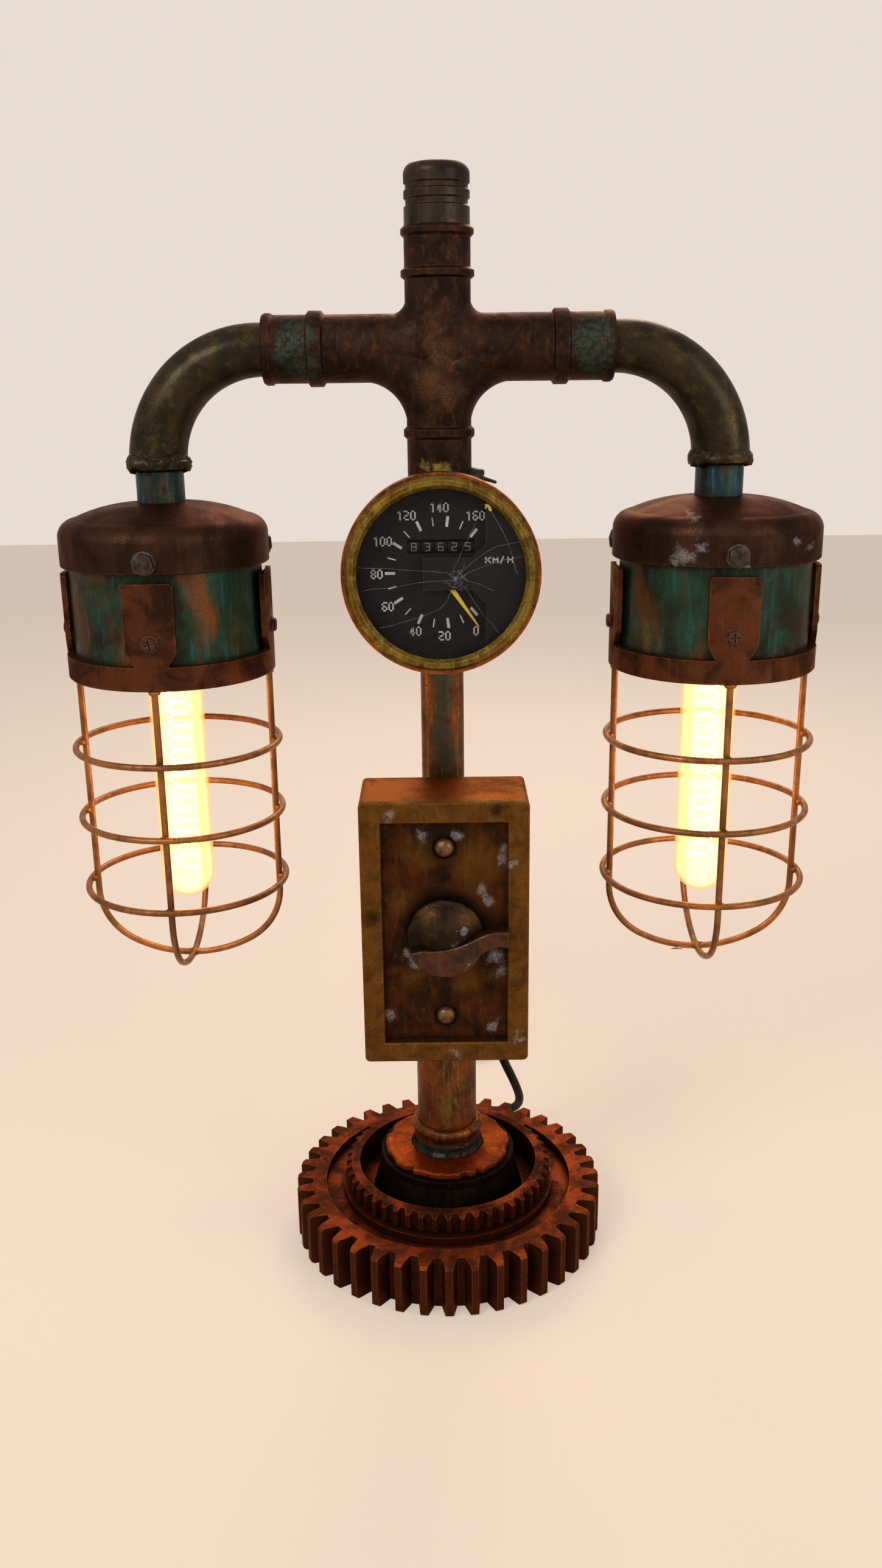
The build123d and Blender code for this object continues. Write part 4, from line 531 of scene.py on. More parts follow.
class Finish(Enum):
    """Every finish on the lamp, by the piece that it belongs to."""

    # The gear and the dog ring get painted shade on their upright faces.
    GEAR = AgedMetal(
        "gear_iron", (62, 29, 13), (126, 50, 18), (164, 78, 30), (164, 106, 68), smooth=0.42,
        streak=0.25, cast=0.25, grime=0.8, sides=0.95)
    DOG = AgedMetal(
        "dog_steel", (44, 19, 8), (106, 42, 14), (150, 66, 22), (160, 96, 56), streak=0.15,
        grime=0.85, sides=0.45)
    HUB = AgedMetal(
        "hub_iron", (10, 7, 5), (22, 14, 9), (50, 28, 16), (84, 50, 30), smooth=0.42,
        grime=0.85, cast=0.4)
    HUB_PLATE = AgedMetal(
        "hub_plate_rust", (92, 33, 10), (126, 48, 13), (196, 92, 28), (240, 148, 66),
        smooth=0.28, coarse=0.46, streak=0.25, grime=0.3, tint=(70, 30, 14), tint_share=0.6)
    FOOT = AgedMetal(
        "foot_collar_bronze", (46, 26, 11), (108, 56, 18), (200, 120, 40), (250, 180, 80), 0.8,
        smooth=0.20, coarse=0.36, cast=0.5, blotch=10 * MM, streak=0.5, tint=(40, 36, 22),
        tint_share=0.5, lacquer=0.1)
    # The gilding down the middle of the post's front is a painted highlight, broken into runs.
    POST = MarkedMetal(
        "post_steel", (56, 25, 9), (112, 50, 14), (150, 104, 36), (196, 126, 52), 0.8,
        smooth=0.27, coarse=0.46, blotch=24 * MM, streak=0.4, streak_stretch=(1.0, 1.0, 0.22),
        tint=(50, 50, 32), tint_share=0.35, specks=0.4, lacquer=0.15, middle=112.0,
        gilding=((4, -26, 3, 10), (2, -14, 4, 12), (5, -2, 4, 12), (2, 10, 4, 11),
                 (4, 22, 3, 11), (-4, 34, 1, 9)), gilt=(112, 100, 44), gilt_runs=0.95)
    POST_UPPER = MarkedMetal(
        "upper_post_steel", (50, 27, 13), (96, 54, 22), (158, 104, 42), (196, 130, 58), 0.8,
        smooth=0.25, coarse=0.42, blotch=24 * MM, streak_stretch=(1.0, 1.0, 0.18),
        tint=(34, 58, 50), tint_share=0.85, lacquer=0.15, middle=352.0,
        soot=((1, -26, 4, 10), (-1, -12, 4, 9), (1, 4, 4, 9), (0, 20, 4, 10), (0, 34, 3, 9)),
        soot_colour=(34, 58, 46), ragged=0.5)
    CROSS = MarkedMetal(
        "cross_bronze", (20, 15, 12), (45, 30, 22), (92, 52, 27), (140, 82, 45), 0.75,
        smooth=0.30, coarse=0.48, streak=0.4, cast=1.2, pitting=0.45,
        streak_stretch=(1.0, 1.0, 0.5), middle=556.0,
        gilding=((-7, -63, 1, 5), (-2, -64, 1, 5), (3, -65, 0, 4)), gilt=(150, 140, 62),
        soot=((-76, 7, 5, 13), (-74, -8, 5, 13), (-80, -1, 5, 12), (84, 9, 6, 14),
              (84, -6, 6, 13), (80, 1, 6, 12)), soot_colour=(44, 66, 58), ragged=0.85,
        chalk=((-6, -16, 0, 14), (6, -24, 0, 11), (0, -4, 0, 13), (-2, 12, 0, 9)),
        chalk_colour=(108, 74, 48))
    ELBOW = AgedMetal(
        "elbow_bronze", (23, 19, 10), (48, 38, 19), (100, 84, 28), (130, 100, 45), 0.75,
        smooth=0.30, coarse=0.50, streak=0.32, cast=1.1, pitting=0.7,
        streak_stretch=(0.4, 0.6, 0.4), specks=0.9, lacquer=0.15)
    TOP_CAP = AgedMetal(
        "top_cap_black", (18, 15, 12), (40, 33, 25), (80, 60, 38), (140, 94, 56), 0.65,
        smooth=0.3, streak=0.3, lacquer=0.15)
    DROP_PIPE = AgedMetal(
        "drop_pipe_blue", (22, 34, 30), (36, 58, 48), (16, 112, 168), (100, 140, 150), 0.75,
        smooth=0.26, coarse=0.42, streak=0.6, blotch=12 * MM, tint=(72, 50, 28),
        tint_share=0.95, lacquer=0.15)
    HEAD_CAP = MarkedMetal(
        "head_cap_brown", (31, 21, 16), (58, 37, 26), (92, 56, 34), (146, 96, 60), smooth=0.32,
        coarse=0.46, streak=0.15, blotch=30 * MM, specks=0.35, middle=447.5,
        chalk=((130, 0, 0, 7), (138, 5, 0, 4), (124, -4, 0, 4), (163, -6, 0, 4),
               (192, 6, 0, 4), (201, 2, 0, 4), (136, 20, 0, 3)))
    DRUM = AgedMetal(
        "drum_teal", (24, 29, 20), (30, 62, 48), (8, 100, 112), (132, 92, 48), 0.75,
        smooth=0.24, coarse=0.38, blotch=26 * MM, streak=0.5, streak_stretch=(1.0, 1.0, 0.16),
        tint=(104, 58, 22), tint_share=0.9, lacquer=0.1)
    GUARD = AgedMetal(
        "guard_copper", (40, 24, 16), (84, 47, 26), (128, 74, 38), (176, 112, 66), streak=0.2,
        cast=0.3, blotch=26 * MM, specks=0.3)
    SCREW = AgedMetal(
        "screw_brown", (30, 20, 15), (64, 42, 28), (106, 70, 44), (160, 116, 78), 0.6,
        smooth=0.32, streak=0.2, blotch=5 * MM, lacquer=0.15)
    WIRE = AgedMetal(
        "wire_copper", (100, 62, 32), (150, 96, 50), (202, 142, 80), (220, 166, 100), 0.7,
        smooth=0.26, coarse=0.44, streak=0.3, cast=0.4, grime=0.12, lacquer=0.15)
    BOLT = AgedMetal(
        "bolt_steel", (28, 23, 20), (60, 50, 42), (112, 100, 90), (190, 182, 172), 0.7,
        smooth=0.32, streak=0.25, blotch=4 * MM, lacquer=0.15)
    BOX = AgedMetal(
        "box_shell_copper", (74, 34, 13), (124, 59, 22), (154, 86, 38), (206, 142, 80), 0.9,
        coarse=0.48, streak=0.15, cast=0.2, pitting=0.2, blotch=34 * MM, specks=0.35)
    BOX_FRAME = MarkedMetal(
        "box_frame_bronze", (74, 47, 17), (100, 65, 23), (126, 90, 36), (170, 130, 66),
        smooth=0.36, coarse=0.50, streak=0.25, streak_stretch=(1.0, 1.0, 0.3), blotch=12 * MM,
        cast=0.6, pitting=0.9, specks=1.0, middle=235.75,
        chalk=((43, -66, 0, 4), (44, -61, 0, 3), (5, -74, 0, 4), (-30, 73, 0, 4),
               (38, 44, 0, 3)), soot=((-41, 12, 0, 9), (30, 75, 0, 8)))
    # The soot rings round both screws and round the knob are painted shade; the other soot spots
    # are stains.
    PANEL = MarkedMetal(
        "box_panel_rust", (30, 16, 7), (68, 34, 12), (106, 64, 20), (150, 112, 66), 0.8,
        smooth=0.30, coarse=0.46, streak_stretch=(1.0, 1.0, 0.3), grime=0.9, cast=0.35,
        specks=0.4, middle=235.75,
        gilding=((17, 42, 2, 24), (-14, 48, 0, 15), (-24, 18, 0, 13), (12, -31, 0, 15),
                 (-18, -28, 0, 10)), gilt=(98, 66, 20), gilt_runs=0.4,
        soot=((0, 52, 5, 11), (0, -52, 5, 11), (-1, 2, 21, 29), (0, 40, 1, 6), (0, 34, 1, 6),
              (0, -30, 1, 6), (0, -36, 1, 6), (0, -42, 1, 6), (34, 0, 0, 9)),
        chalk=((30, -15, 0, 7), (32, -24, 0, 6), (34, 44, 0, 6), (34, 52, 0, 5),
               (24, 20, 0, 3.5), (20, 26, 0, 3.5), (-18, -18, 0, 5), (-22, -13, 0, 3.5),
               (-12, 58, 0, 5), (6, 59, 0, 5), (28, -59, 0, 4), (-34, -52, 0, 4)))
    # Golden-brown patches at the dome's upper left and upper right.
    KNOB = MarkedMetal(
        "knob_black", (23, 18, 13), (48, 36, 24), (84, 62, 38), (150, 106, 60), smooth=0.24,
        coarse=0.34, streak=0.1, blotch=12 * MM, middle=235.75,
        chalk=((5, -1, 0, 3), (11, 5, 0, 2.5)), gilding=((-12, 14, 0, 8), (14, 12, 0, 8)),
        gilt=(76, 50, 22))
    BRASS = AgedMetal(
        "bezel_brass", (70, 54, 20), (118, 98, 38), (168, 150, 66), (206, 184, 100),
        smooth=0.20, coarse=0.38, blotch=9 * MM, specks=0.9, cast=0.3, tint=(112, 62, 20),
        tint_share=0.4)
    CAN = AgedMetal(
        "gauge_can_copper", (62, 30, 12), (140, 70, 26), (196, 112, 44), (226, 150, 76),
        smooth=0.26, coarse=0.42, streak=0.3, blotch=14 * MM, lacquer=0.1)
    WELD = AgedMetal(
        "weld_green", (12, 13, 9), (30, 30, 21), (64, 46, 22), (110, 78, 40), smooth=0.42,
        coarse=0.64, blotch=5 * MM, streak=0.2, cast=0.4, lacquer=0.15)
    GRIP = AgedMetal(
        "grip_copper", (32, 17, 8), (76, 40, 16), (116, 72, 28), (176, 124, 62), 0.75,
        smooth=0.26, coarse=0.42, blotch=9 * MM, streak=0.2, edge=1.2 * MM, specks=0.6,
        flecks=0.6, lacquer=0.3)
    DOME = AgedMetal(
        "dome_screw_bronze", (58, 40, 26), (112, 82, 50), (160, 124, 78), (200, 164, 110), 0.65,
        smooth=0.24, coarse=0.4, blotch=5 * MM, streak=0.1, lacquer=0.15)
    # The dial bridge's light edges are a painted highlight.
    BRIDGE = Moulded(
        "dial_bridge_black", (17, 16, 19), (27, 26, 30), depth=0.008 * MM, dust=0.0,
        shine=0.18, rubbed=(104, 112, 118))
    DIAL = Moulded(
        "dial_black", (17, 16, 19), (29, 26, 29), depth=0.008 * MM, dust=0.0, shine=0.15)
    NEEDLE = Moulded(
        "needle_yellow", (196, 172, 44), (168, 140, 30), 0.45, depth=0.02 * MM, dust=0.0)
    BAKELITE = Moulded("switch_bakelite", (38, 28, 22), (58, 42, 30), 0.35)
    RUBBER = Moulded(
        "cord_rubber", (11, 8, 7), (20, 15, 13), 0.5, 0.8 * MM, 0.05 * MM, 0.03, 0.14)
    PORCELAIN = Moulded("holder_porcelain", (226, 220, 206), (214, 204, 184), 0.22, dust=0.4)
    CLOTH = Moulded("lead_cloth", (58, 46, 34), (44, 34, 26), 0.8, 0.5 * MM, 0.2 * MM)
    ODOMETER = Moulded(
        "odometer_figures_grey", (122, 130, 134), (88, 94, 98), 0.6, depth=0.02 * MM, dust=0.0)
    CHIP = Moulded(
        "glass_chip_yellow", (176, 158, 70), (140, 120, 48), 0.35, depth=0.02 * MM, dust=0.0)
    FIGURES = Moulded(
        "dial_figures_grey", (176, 184, 190), (132, 140, 146), 0.6, depth=0.02 * MM, dust=0.0)
    CRACK = Moulded(
        "glass_crack_white", (176, 184, 188), (124, 132, 138), 0.4, depth=0.02 * MM, dust=0.0)
    GAUGE_GLASS = ClearGlass("gauge_glass", (20, 22, 24), alpha=0.05)
    BULB_GLASS = ClearGlass("bulb_glass", (96, 70, 44), alpha=0.14, edge=0.55, glow=3.8)
    FILAMENT = Glowing("filament_hot", (255, 184, 92), 70.0)


class Paintbox:
    """Makes each finish's material once."""

    NODES = {
        Finish.GEAR: "base_gear", Finish.DOG: "dog_ring", Finish.HUB: "hub_drum",
        Finish.FOOT: "post_reducer", Finish.POST: "post_lower", Finish.POST_UPPER: "post_upper",
        Finish.BOX: "box_shell", Finish.BOX_FRAME: "box_frame", Finish.PANEL: "switch_panel",
        Finish.BAKELITE: "switch_body", Finish.CAN: "gauge_can", Finish.CLOTH: "wiring",
        Finish.BOLT: "box_clamps clamp_screws gauge_clamp toggle_switch toggle_lever",
        Finish.BRASS: "wire_nipple gauge_bezel gauge_movement",
        Finish.DIAL: "gauge_dial odometer_drums", Finish.BRIDGE: "dial_bridge",
        Finish.NEEDLE: "gauge_needle", Finish.GAUGE_GLASS: "gauge_glass",
        Finish.CROSS: "cross_fitting", Finish.TOP_CAP: "top_cap",
    }
    HEAD_NODES = {
        Finish.ELBOW: "elbow", Finish.DROP_PIPE: "drop_pipe", Finish.HEAD_CAP: "head_cap",
        Finish.DRUM: "drum", Finish.GUARD: "guard_ring", Finish.WIRE: "guard_wires guard_hoops",
        Finish.PORCELAIN: "lampholder", Finish.BULB_GLASS: "bulb_glass",
        Finish.BRASS: "bulb_cap",
    }

    def __init__(self) -> None:
        """Start with no material made."""
        self.made: dict[str, bpy.types.Material] = {}

    def nodes(self) -> Iterator[tuple[str, Finish]]:
        """Every node of the frame that stays, with its finish."""
        for finish, names in self.NODES.items():
            yield from ((name, finish) for name in names.split())
        for _, side in SIDES:
            for finish, names in self.HEAD_NODES.items():
                yield from ((f"{side}_{name}", finish) for name in names.split())

    def dress(self, piece: bpy.types.Object, finish: Finish) -> None:
        """Put a finish on every slot of a piece."""
        if finish.name not in self.made:
            self.made[finish.name] = finish.value.build()
        material = self.made[finish.name]
        if not piece.material_slots:
            piece.data.materials.append(material)
        for slot in piece.material_slots:
            slot.material = material


# ---------------------------------------------------------------- mesh work
def placed(point: Point, axis: Point = UP, spin: float = 0.0) -> Matrix:
    """Placement of a form made on +Z: turned to an axis, spun about it and moved to a point."""
    turned = Vector(UP).rotation_difference(Vector(axis)).to_matrix().to_4x4()
    return Matrix.Translation(Vector(point)) @ turned @ Matrix.Rotation(spin, 4, "Z")


def on_front(height: float, front: float) -> Matrix:
    """Placement so far in front of the post: local Y points up and local Z to the front."""
    return Matrix(((1, 0, 0, 0), (0, 0, -1, -front), (0, 1, 0, height), (0, 0, 0, 1)))


def arc(start: Spot, middle: Spot, end: Spot, count: int) -> list[Spot]:
    """Points on the circle through three points, without the last one.

    Args:
        start: first point.
        middle: a point on the way.
        end: last point.
        count: number of points.

    Returns:
        The points from start on.
    """
    (ax, ay), (bx, by), (cx, cy) = start, middle, end
    twice = 2 * (ax * (by - cy) + bx * (cy - ay) + cx * (ay - by))
    a, b, c = ax * ax + ay * ay, bx * bx + by * by, cx * cx + cy * cy
    ox = (a * (by - cy) + b * (cy - ay) + c * (ay - by)) / twice
    oy = (a * (cx - bx) + b * (ax - cx) + c * (bx - ax)) / twice
    radius = math.hypot(ax - ox, ay - oy)
    first = math.atan2(ay - oy, ax - ox)
    through = (math.atan2(by - oy, bx - ox) - first) % math.tau
    sweep = (math.atan2(cy - oy, cx - ox) - first) % math.tau
    if through > sweep:
        sweep -= math.tau
    steps = [polar(radius, first + sweep * k / count) for k in range(count)]
    return [(ox + x, oy + y) for x, y in steps]


class Form:
    """A mesh in the making, in millimetres, shaped with bmesh operators."""

    def __init__(self) -> None:
        """Start empty."""
        self.mesh = bmesh.new()

    def lathe(self, profile: Sequence[Spot], steps: int) -> "Form":
        """Spin an outline round +Z.

        Args:
            profile: (radius, height) points in order.
            steps: segments of the full turn.

        Returns:
            This form.
        """
        points = [self.mesh.verts.new((radius, 0, height)) for radius, height in profile]
        edges = [self.mesh.edges.new(pair) for pair in zip(points, points[1:])]
        bmesh.ops.spin(self.mesh, geom=points + edges, cent=(0, 0, 0), axis=UP, dvec=(0, 0, 0),
                       angle=math.tau, steps=steps, use_merge=True)
        bmesh.ops.remove_doubles(self.mesh, verts=self.mesh.verts, dist=1e-3)
        bmesh.ops.recalc_face_normals(self.mesh, faces=self.mesh.faces)
        return self

    def prism(self, outline: Sequence[Spot], depth: float) -> "Form":
        """Raise a flat outline in XY along +Z to a closed solid."""
        face = self.mesh.faces.new([self.mesh.verts.new((x, y, 0)) for x, y in outline])
        raised = bmesh.ops.extrude_face_region(self.mesh, geom=[face], use_keep_orig=True)
        tops = [item for item in raised["geom"] if isinstance(item, bmesh.types.BMVert)]
        bmesh.ops.translate(self.mesh, verts=tops, vec=(0, 0, depth))
        bmesh.ops.recalc_face_normals(self.mesh, faces=self.mesh.faces)
        return self

    def block(self, width: float, depth: float, height: float) -> "Form":
        """A block on the XY plane, centred on Z."""
        made = bmesh.ops.create_cube(self.mesh, size=1.0)
        bmesh.ops.translate(self.mesh, verts=made["verts"], vec=(0, 0, 0.5))
        bmesh.ops.scale(self.mesh, verts=made["verts"], vec=(width, depth, height))
        return self

    def blob(self, radii: Point) -> "Form":
        """A rounded lump with the given half sizes."""
        made = bmesh.ops.create_icosphere(self.mesh, subdivisions=2, radius=1.0)
        bmesh.ops.scale(self.mesh, verts=made["verts"], vec=radii)
        return self

    def stroke(self, start: Spot, end: Spot, width: float, place: Matrix,
               thick: float = 0.14) -> "Form":
        """Add one flat straight stroke.

        Args:
            start: its first point.
            end: its last point.
            width: its width.
            place: placement of the face that it lies on.
            thick: how far it stands proud.

        Returns:
            This form.
        """
        run = Vector((end[0] - start[0], end[1] - start[1], 0))
        middle = Vector(((start[0] + end[0]) / 2, (start[1] + end[1]) / 2, 0))
        turn = Matrix.Rotation(math.atan2(run.y, run.x), 4, "Z")
        return self.add(Form().block(run.length + width, width, thick),
                        place @ Matrix.Translation(middle) @ turn)

    def soften(self, width: float, segments: int = 2, angle: float = 30.0) -> "Form":
        """Round every edge that is sharper than an angle.

        Args:
            width: width of the rounding.
            segments: faces across it.
            angle: smallest turn, in degrees, that is rounded.

        Returns:
            This form.
        """
        sharp = [edge for edge in self.mesh.edges
                 if edge.is_manifold and edge.calc_face_angle(0.0) > math.radians(angle)]
        bmesh.ops.bevel(self.mesh, geom=sharp, offset=width, offset_type="OFFSET",
                        segments=segments, profile=0.5, affect="EDGES", material=-1,
                        clamp_overlap=True)
        return self

    def roughen(self, size: float, depth: float, seed: float = 0.0) -> "Form":
        """Push the surface in and out by noise.

        Args:
            size: size of the lumps.
            depth: how far they reach.
            seed: shift that makes each form differ.

        Returns:
            This form.
        """
        self.mesh.normal_update()
        shift = Vector((seed, -seed, seed * 0.7))
        moves = [(vert, vert.normal * depth * noise.noise(vert.co / size + shift))
                 for vert in self.mesh.verts]
        for vert, move in moves:
            vert.co += move
        return self

    def skin(self, rings: Sequence[Sequence[Vector]], capped: bool = False) -> "Form":
        """Join closed rings of points to one tube.

        Args:
            rings: the rings in order, each with as many points.
            capped: whether the ends are closed.

        Returns:
            This form.
        """
        loops = []
        for ring in rings:
            points = [self.mesh.verts.new(point) for point in ring]
            loops.append([self.mesh.edges.new(pair)
                          for pair in zip(points, points[1:] + points[:1])])
        for first, second in zip(loops, loops[1:]):
            bmesh.ops.bridge_loops(self.mesh, edges=first + second)
        if capped:
            for end in (loops[0], loops[-1]):
                bmesh.ops.contextual_create(self.mesh, geom=end)
        bmesh.ops.recalc_face_normals(self.mesh, faces=self.mesh.faces)
        return self

    def move(self, place: Matrix) -> "Form":
        """Move the whole form by a placement."""
        bmesh.ops.transform(self.mesh, verts=self.mesh.verts, matrix=place)
        return self

    def add(self, other: "Form", place: Matrix = Matrix()) -> "Form":
        """Join a placed copy of another form."""
        copy = bpy.data.meshes.new("copy")
        other.mesh.to_mesh(copy)
        copy.transform(place)
        self.mesh.from_mesh(copy)
        bpy.data.meshes.remove(copy)
        return self


@dataclass(frozen=True)
class Strand:
    """A round wire or cord along smooth control points, in metres."""

    radius: float
    order: int = 4
    smooth: int = 12
    facets: int = 2

    def curve(self, name: str, points: Sequence[Sequence[float]]) -> bpy.types.Object:
        """The strand as a curve object that isn't in the scene yet."""
        curve = bpy.data.curves.new(name, "CURVE")
        curve.dimensions = "3D"
        curve.bevel_depth = self.radius
        curve.bevel_resolution = self.facets
        curve.resolution_u = self.smooth
        curve.use_fill_caps = True
        spline = curve.splines.new("NURBS")
        spline.points.add(len(points) - 1)
        for place, point in zip(spline.points, points):
            place.co = (*point, 1.0)
        spline.order_u = self.order
        spline.use_endpoint_u = True
        return bpy.data.objects.new(name, curve)

    def mesh(self, name: str, points: Sequence[Sequence[float]]) -> bpy.types.Object:
        """The strand as a smooth mesh object."""
        source = self.curve(name, points)
        mesh = bpy.data.meshes.new_from_object(source)
        bpy.data.objects.remove(source)
        mesh.shade_smooth()
        return bpy.data.objects.new(name, mesh)


@dataclass
class Workshop:
    """Turns forms into named pieces of the lamp, with finish and body."""

    paint: Paintbox

    def piece(self, form: Form, name: str, finish: Finish, slot: str, body: str = "stand",
              stands_for: Sequence[str] = (), sharp: float = 38.0) -> bpy.types.Object:
        """Make a piece of a form.

        Args:
            form: the finished form, in millimetres.
            name: the piece's name.
            finish: its finish.
            slot: the record's material slot; not used.
            body: the body that it rides on.
            stands_for: the nodes that it replaces.
            sharp: smallest angle, in degrees, that is shaded as an edge.

        Returns:
            The piece.
        """
        mesh = bpy.data.meshes.new(name)
        form.mesh.to_mesh(mesh)
        form.mesh.free()
        mesh.transform(Matrix.Scale(MM, 4))
        mesh.shade_smooth()
        mesh.set_sharp_from_angle(angle=math.radians(sharp))
        return self.settle(bpy.data.objects.new(name, mesh), finish, slot, body, stands_for)

    def settle(self, made: bpy.types.Object, finish: Finish, slot: str, body: str = "stand",
               stands_for: Sequence[str] = ()) -> bpy.types.Object:
        """Put a piece in the scene, dress it and tie it to its body and nodes."""
        bpy.context.collection.objects.link(made)
        self.paint.dress(made, finish)
        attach(made, body)
        if stands_for:
            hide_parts(*stands_for)
        LOG.info("%s: %d faces", made.name, len(made.data.polygons))
        return made


# ---------------------------------------------------------------- gear base
@dataclass
class GearBase:
    """Torch-cut plate on the hub, the foot collar with its bead, and the weld under it."""

    shop: Workshop
    plate_radius: float = 40.9
    plate_bottom: float = 55.5
    plate_top: float = 60.0
    flat_radius: float = 27.0
    edge_wave: float = 0.35
    edge_wave_angle: float = 7.0
    nicks: Sequence[Point] = (
        (24, 1.5, 12), (73, 2.2, 6), (118, 1.0, 14), (162, 2.0, 7), (203, 1.0, 10),
        (233, 3.0, 4), (246, 0.8, 8), (286, 2.0, 5), (299, 2.6, 3), (313, 0.9, 7),
        (349, 1.4, 9))
    collar: Sequence[Spot] = (
        (19.1, 60.0), (22.0, 60.0), (21.4, 60.8), (20.8, 62.0), (20.5, 64.0), (20.7, 68.6),
        (21.4, 70.4), (22.3, 72.3), (22.7, 74.0), (22.5, 75.8), (21.7, 77.2), (20.4, 78.0),
        (19.1, 78.0), (19.1, 60.0))
    weld: Sequence[Spot] = (
        (20.0, 59.8), (23.2, 59.8), (23.7, 60.3), (23.3, 61.3), (22.3, 62.4), (21.7, 63.6),
        (21.4, 65.0), (21.1, 66.2), (20.6, 67.0), (20.0, 66.6), (20.0, 59.8))

    def _edge(self, angle: float) -> float:
        """Radius of the torch-cut edge at an angle in degrees."""
        wave = noise.noise(Vector((angle / self.edge_wave_angle, 3.1, 0)))
        radius = self.plate_radius - self.edge_wave - self.edge_wave * wave
        for place, depth, half in self.nicks:
            away = abs((angle - place + 180) % 360 - 180) / half
            radius -= depth * max(0.0, 1 - away * away) if away < 1 else 0.0
        return radius

    def _plate(self) -> None:
        """Torch-cut plate with a molten, nicked edge."""
        rim, low, high = self.plate_radius, self.plate_bottom, self.plate_top
        form = Form().lathe((
            (19.1, low), (30, low), (rim - 1.3, low), (rim - 0.3, low + 0.6), (rim, low + 1.5),
            (rim - 0.5, high - 1.7), (rim - 0.3, high - 0.9), (rim - 1.0, high - 0.2),
            (rim - 1.9, high), (rim - 3.2, high - 0.25), (rim - 5.0, high - 0.1),
            (rim - 8.0, high), (30, high), (26, high), (22, high), (19.1, high),
            (19.1, low)), 240)
        for vert in form.mesh.verts:
            share = max(0.0, (vert.co.xy.length - self.flat_radius) / (rim - self.flat_radius))
            edge = self._edge(math.degrees(math.atan2(vert.co.y, vert.co.x)))
            pull = 1 - (1 - edge / rim) * share
            vert.co.x *= pull
            vert.co.y *= pull
        form.roughen(6.0, 0.5, 5.0).roughen(1.2, 0.12, 2.0)
        self.shop.piece(form, "torch_cut_plate", Finish.HUB_PLATE, "rust_plate",
                        stands_for=["hub_plate"], sharp=50)

    def build(self) -> None:
        """Make the pieces of the base."""
        self._plate()
        collar = Form().lathe(self.collar, 96).roughen(5.0, 0.30, 2.0)
        self.shop.piece(collar, "foot_collar_bead", Finish.FOOT, "cast_bronze",
                        stands_for=["foot_collar"])
        weld = Form().lathe(self.weld, 240).roughen(6.5, 0.9, 6.0).roughen(2.4, 0.4, 3.0)
        self.shop.piece(weld, "foot_weld", Finish.WELD, "rust_plate", sharp=70)


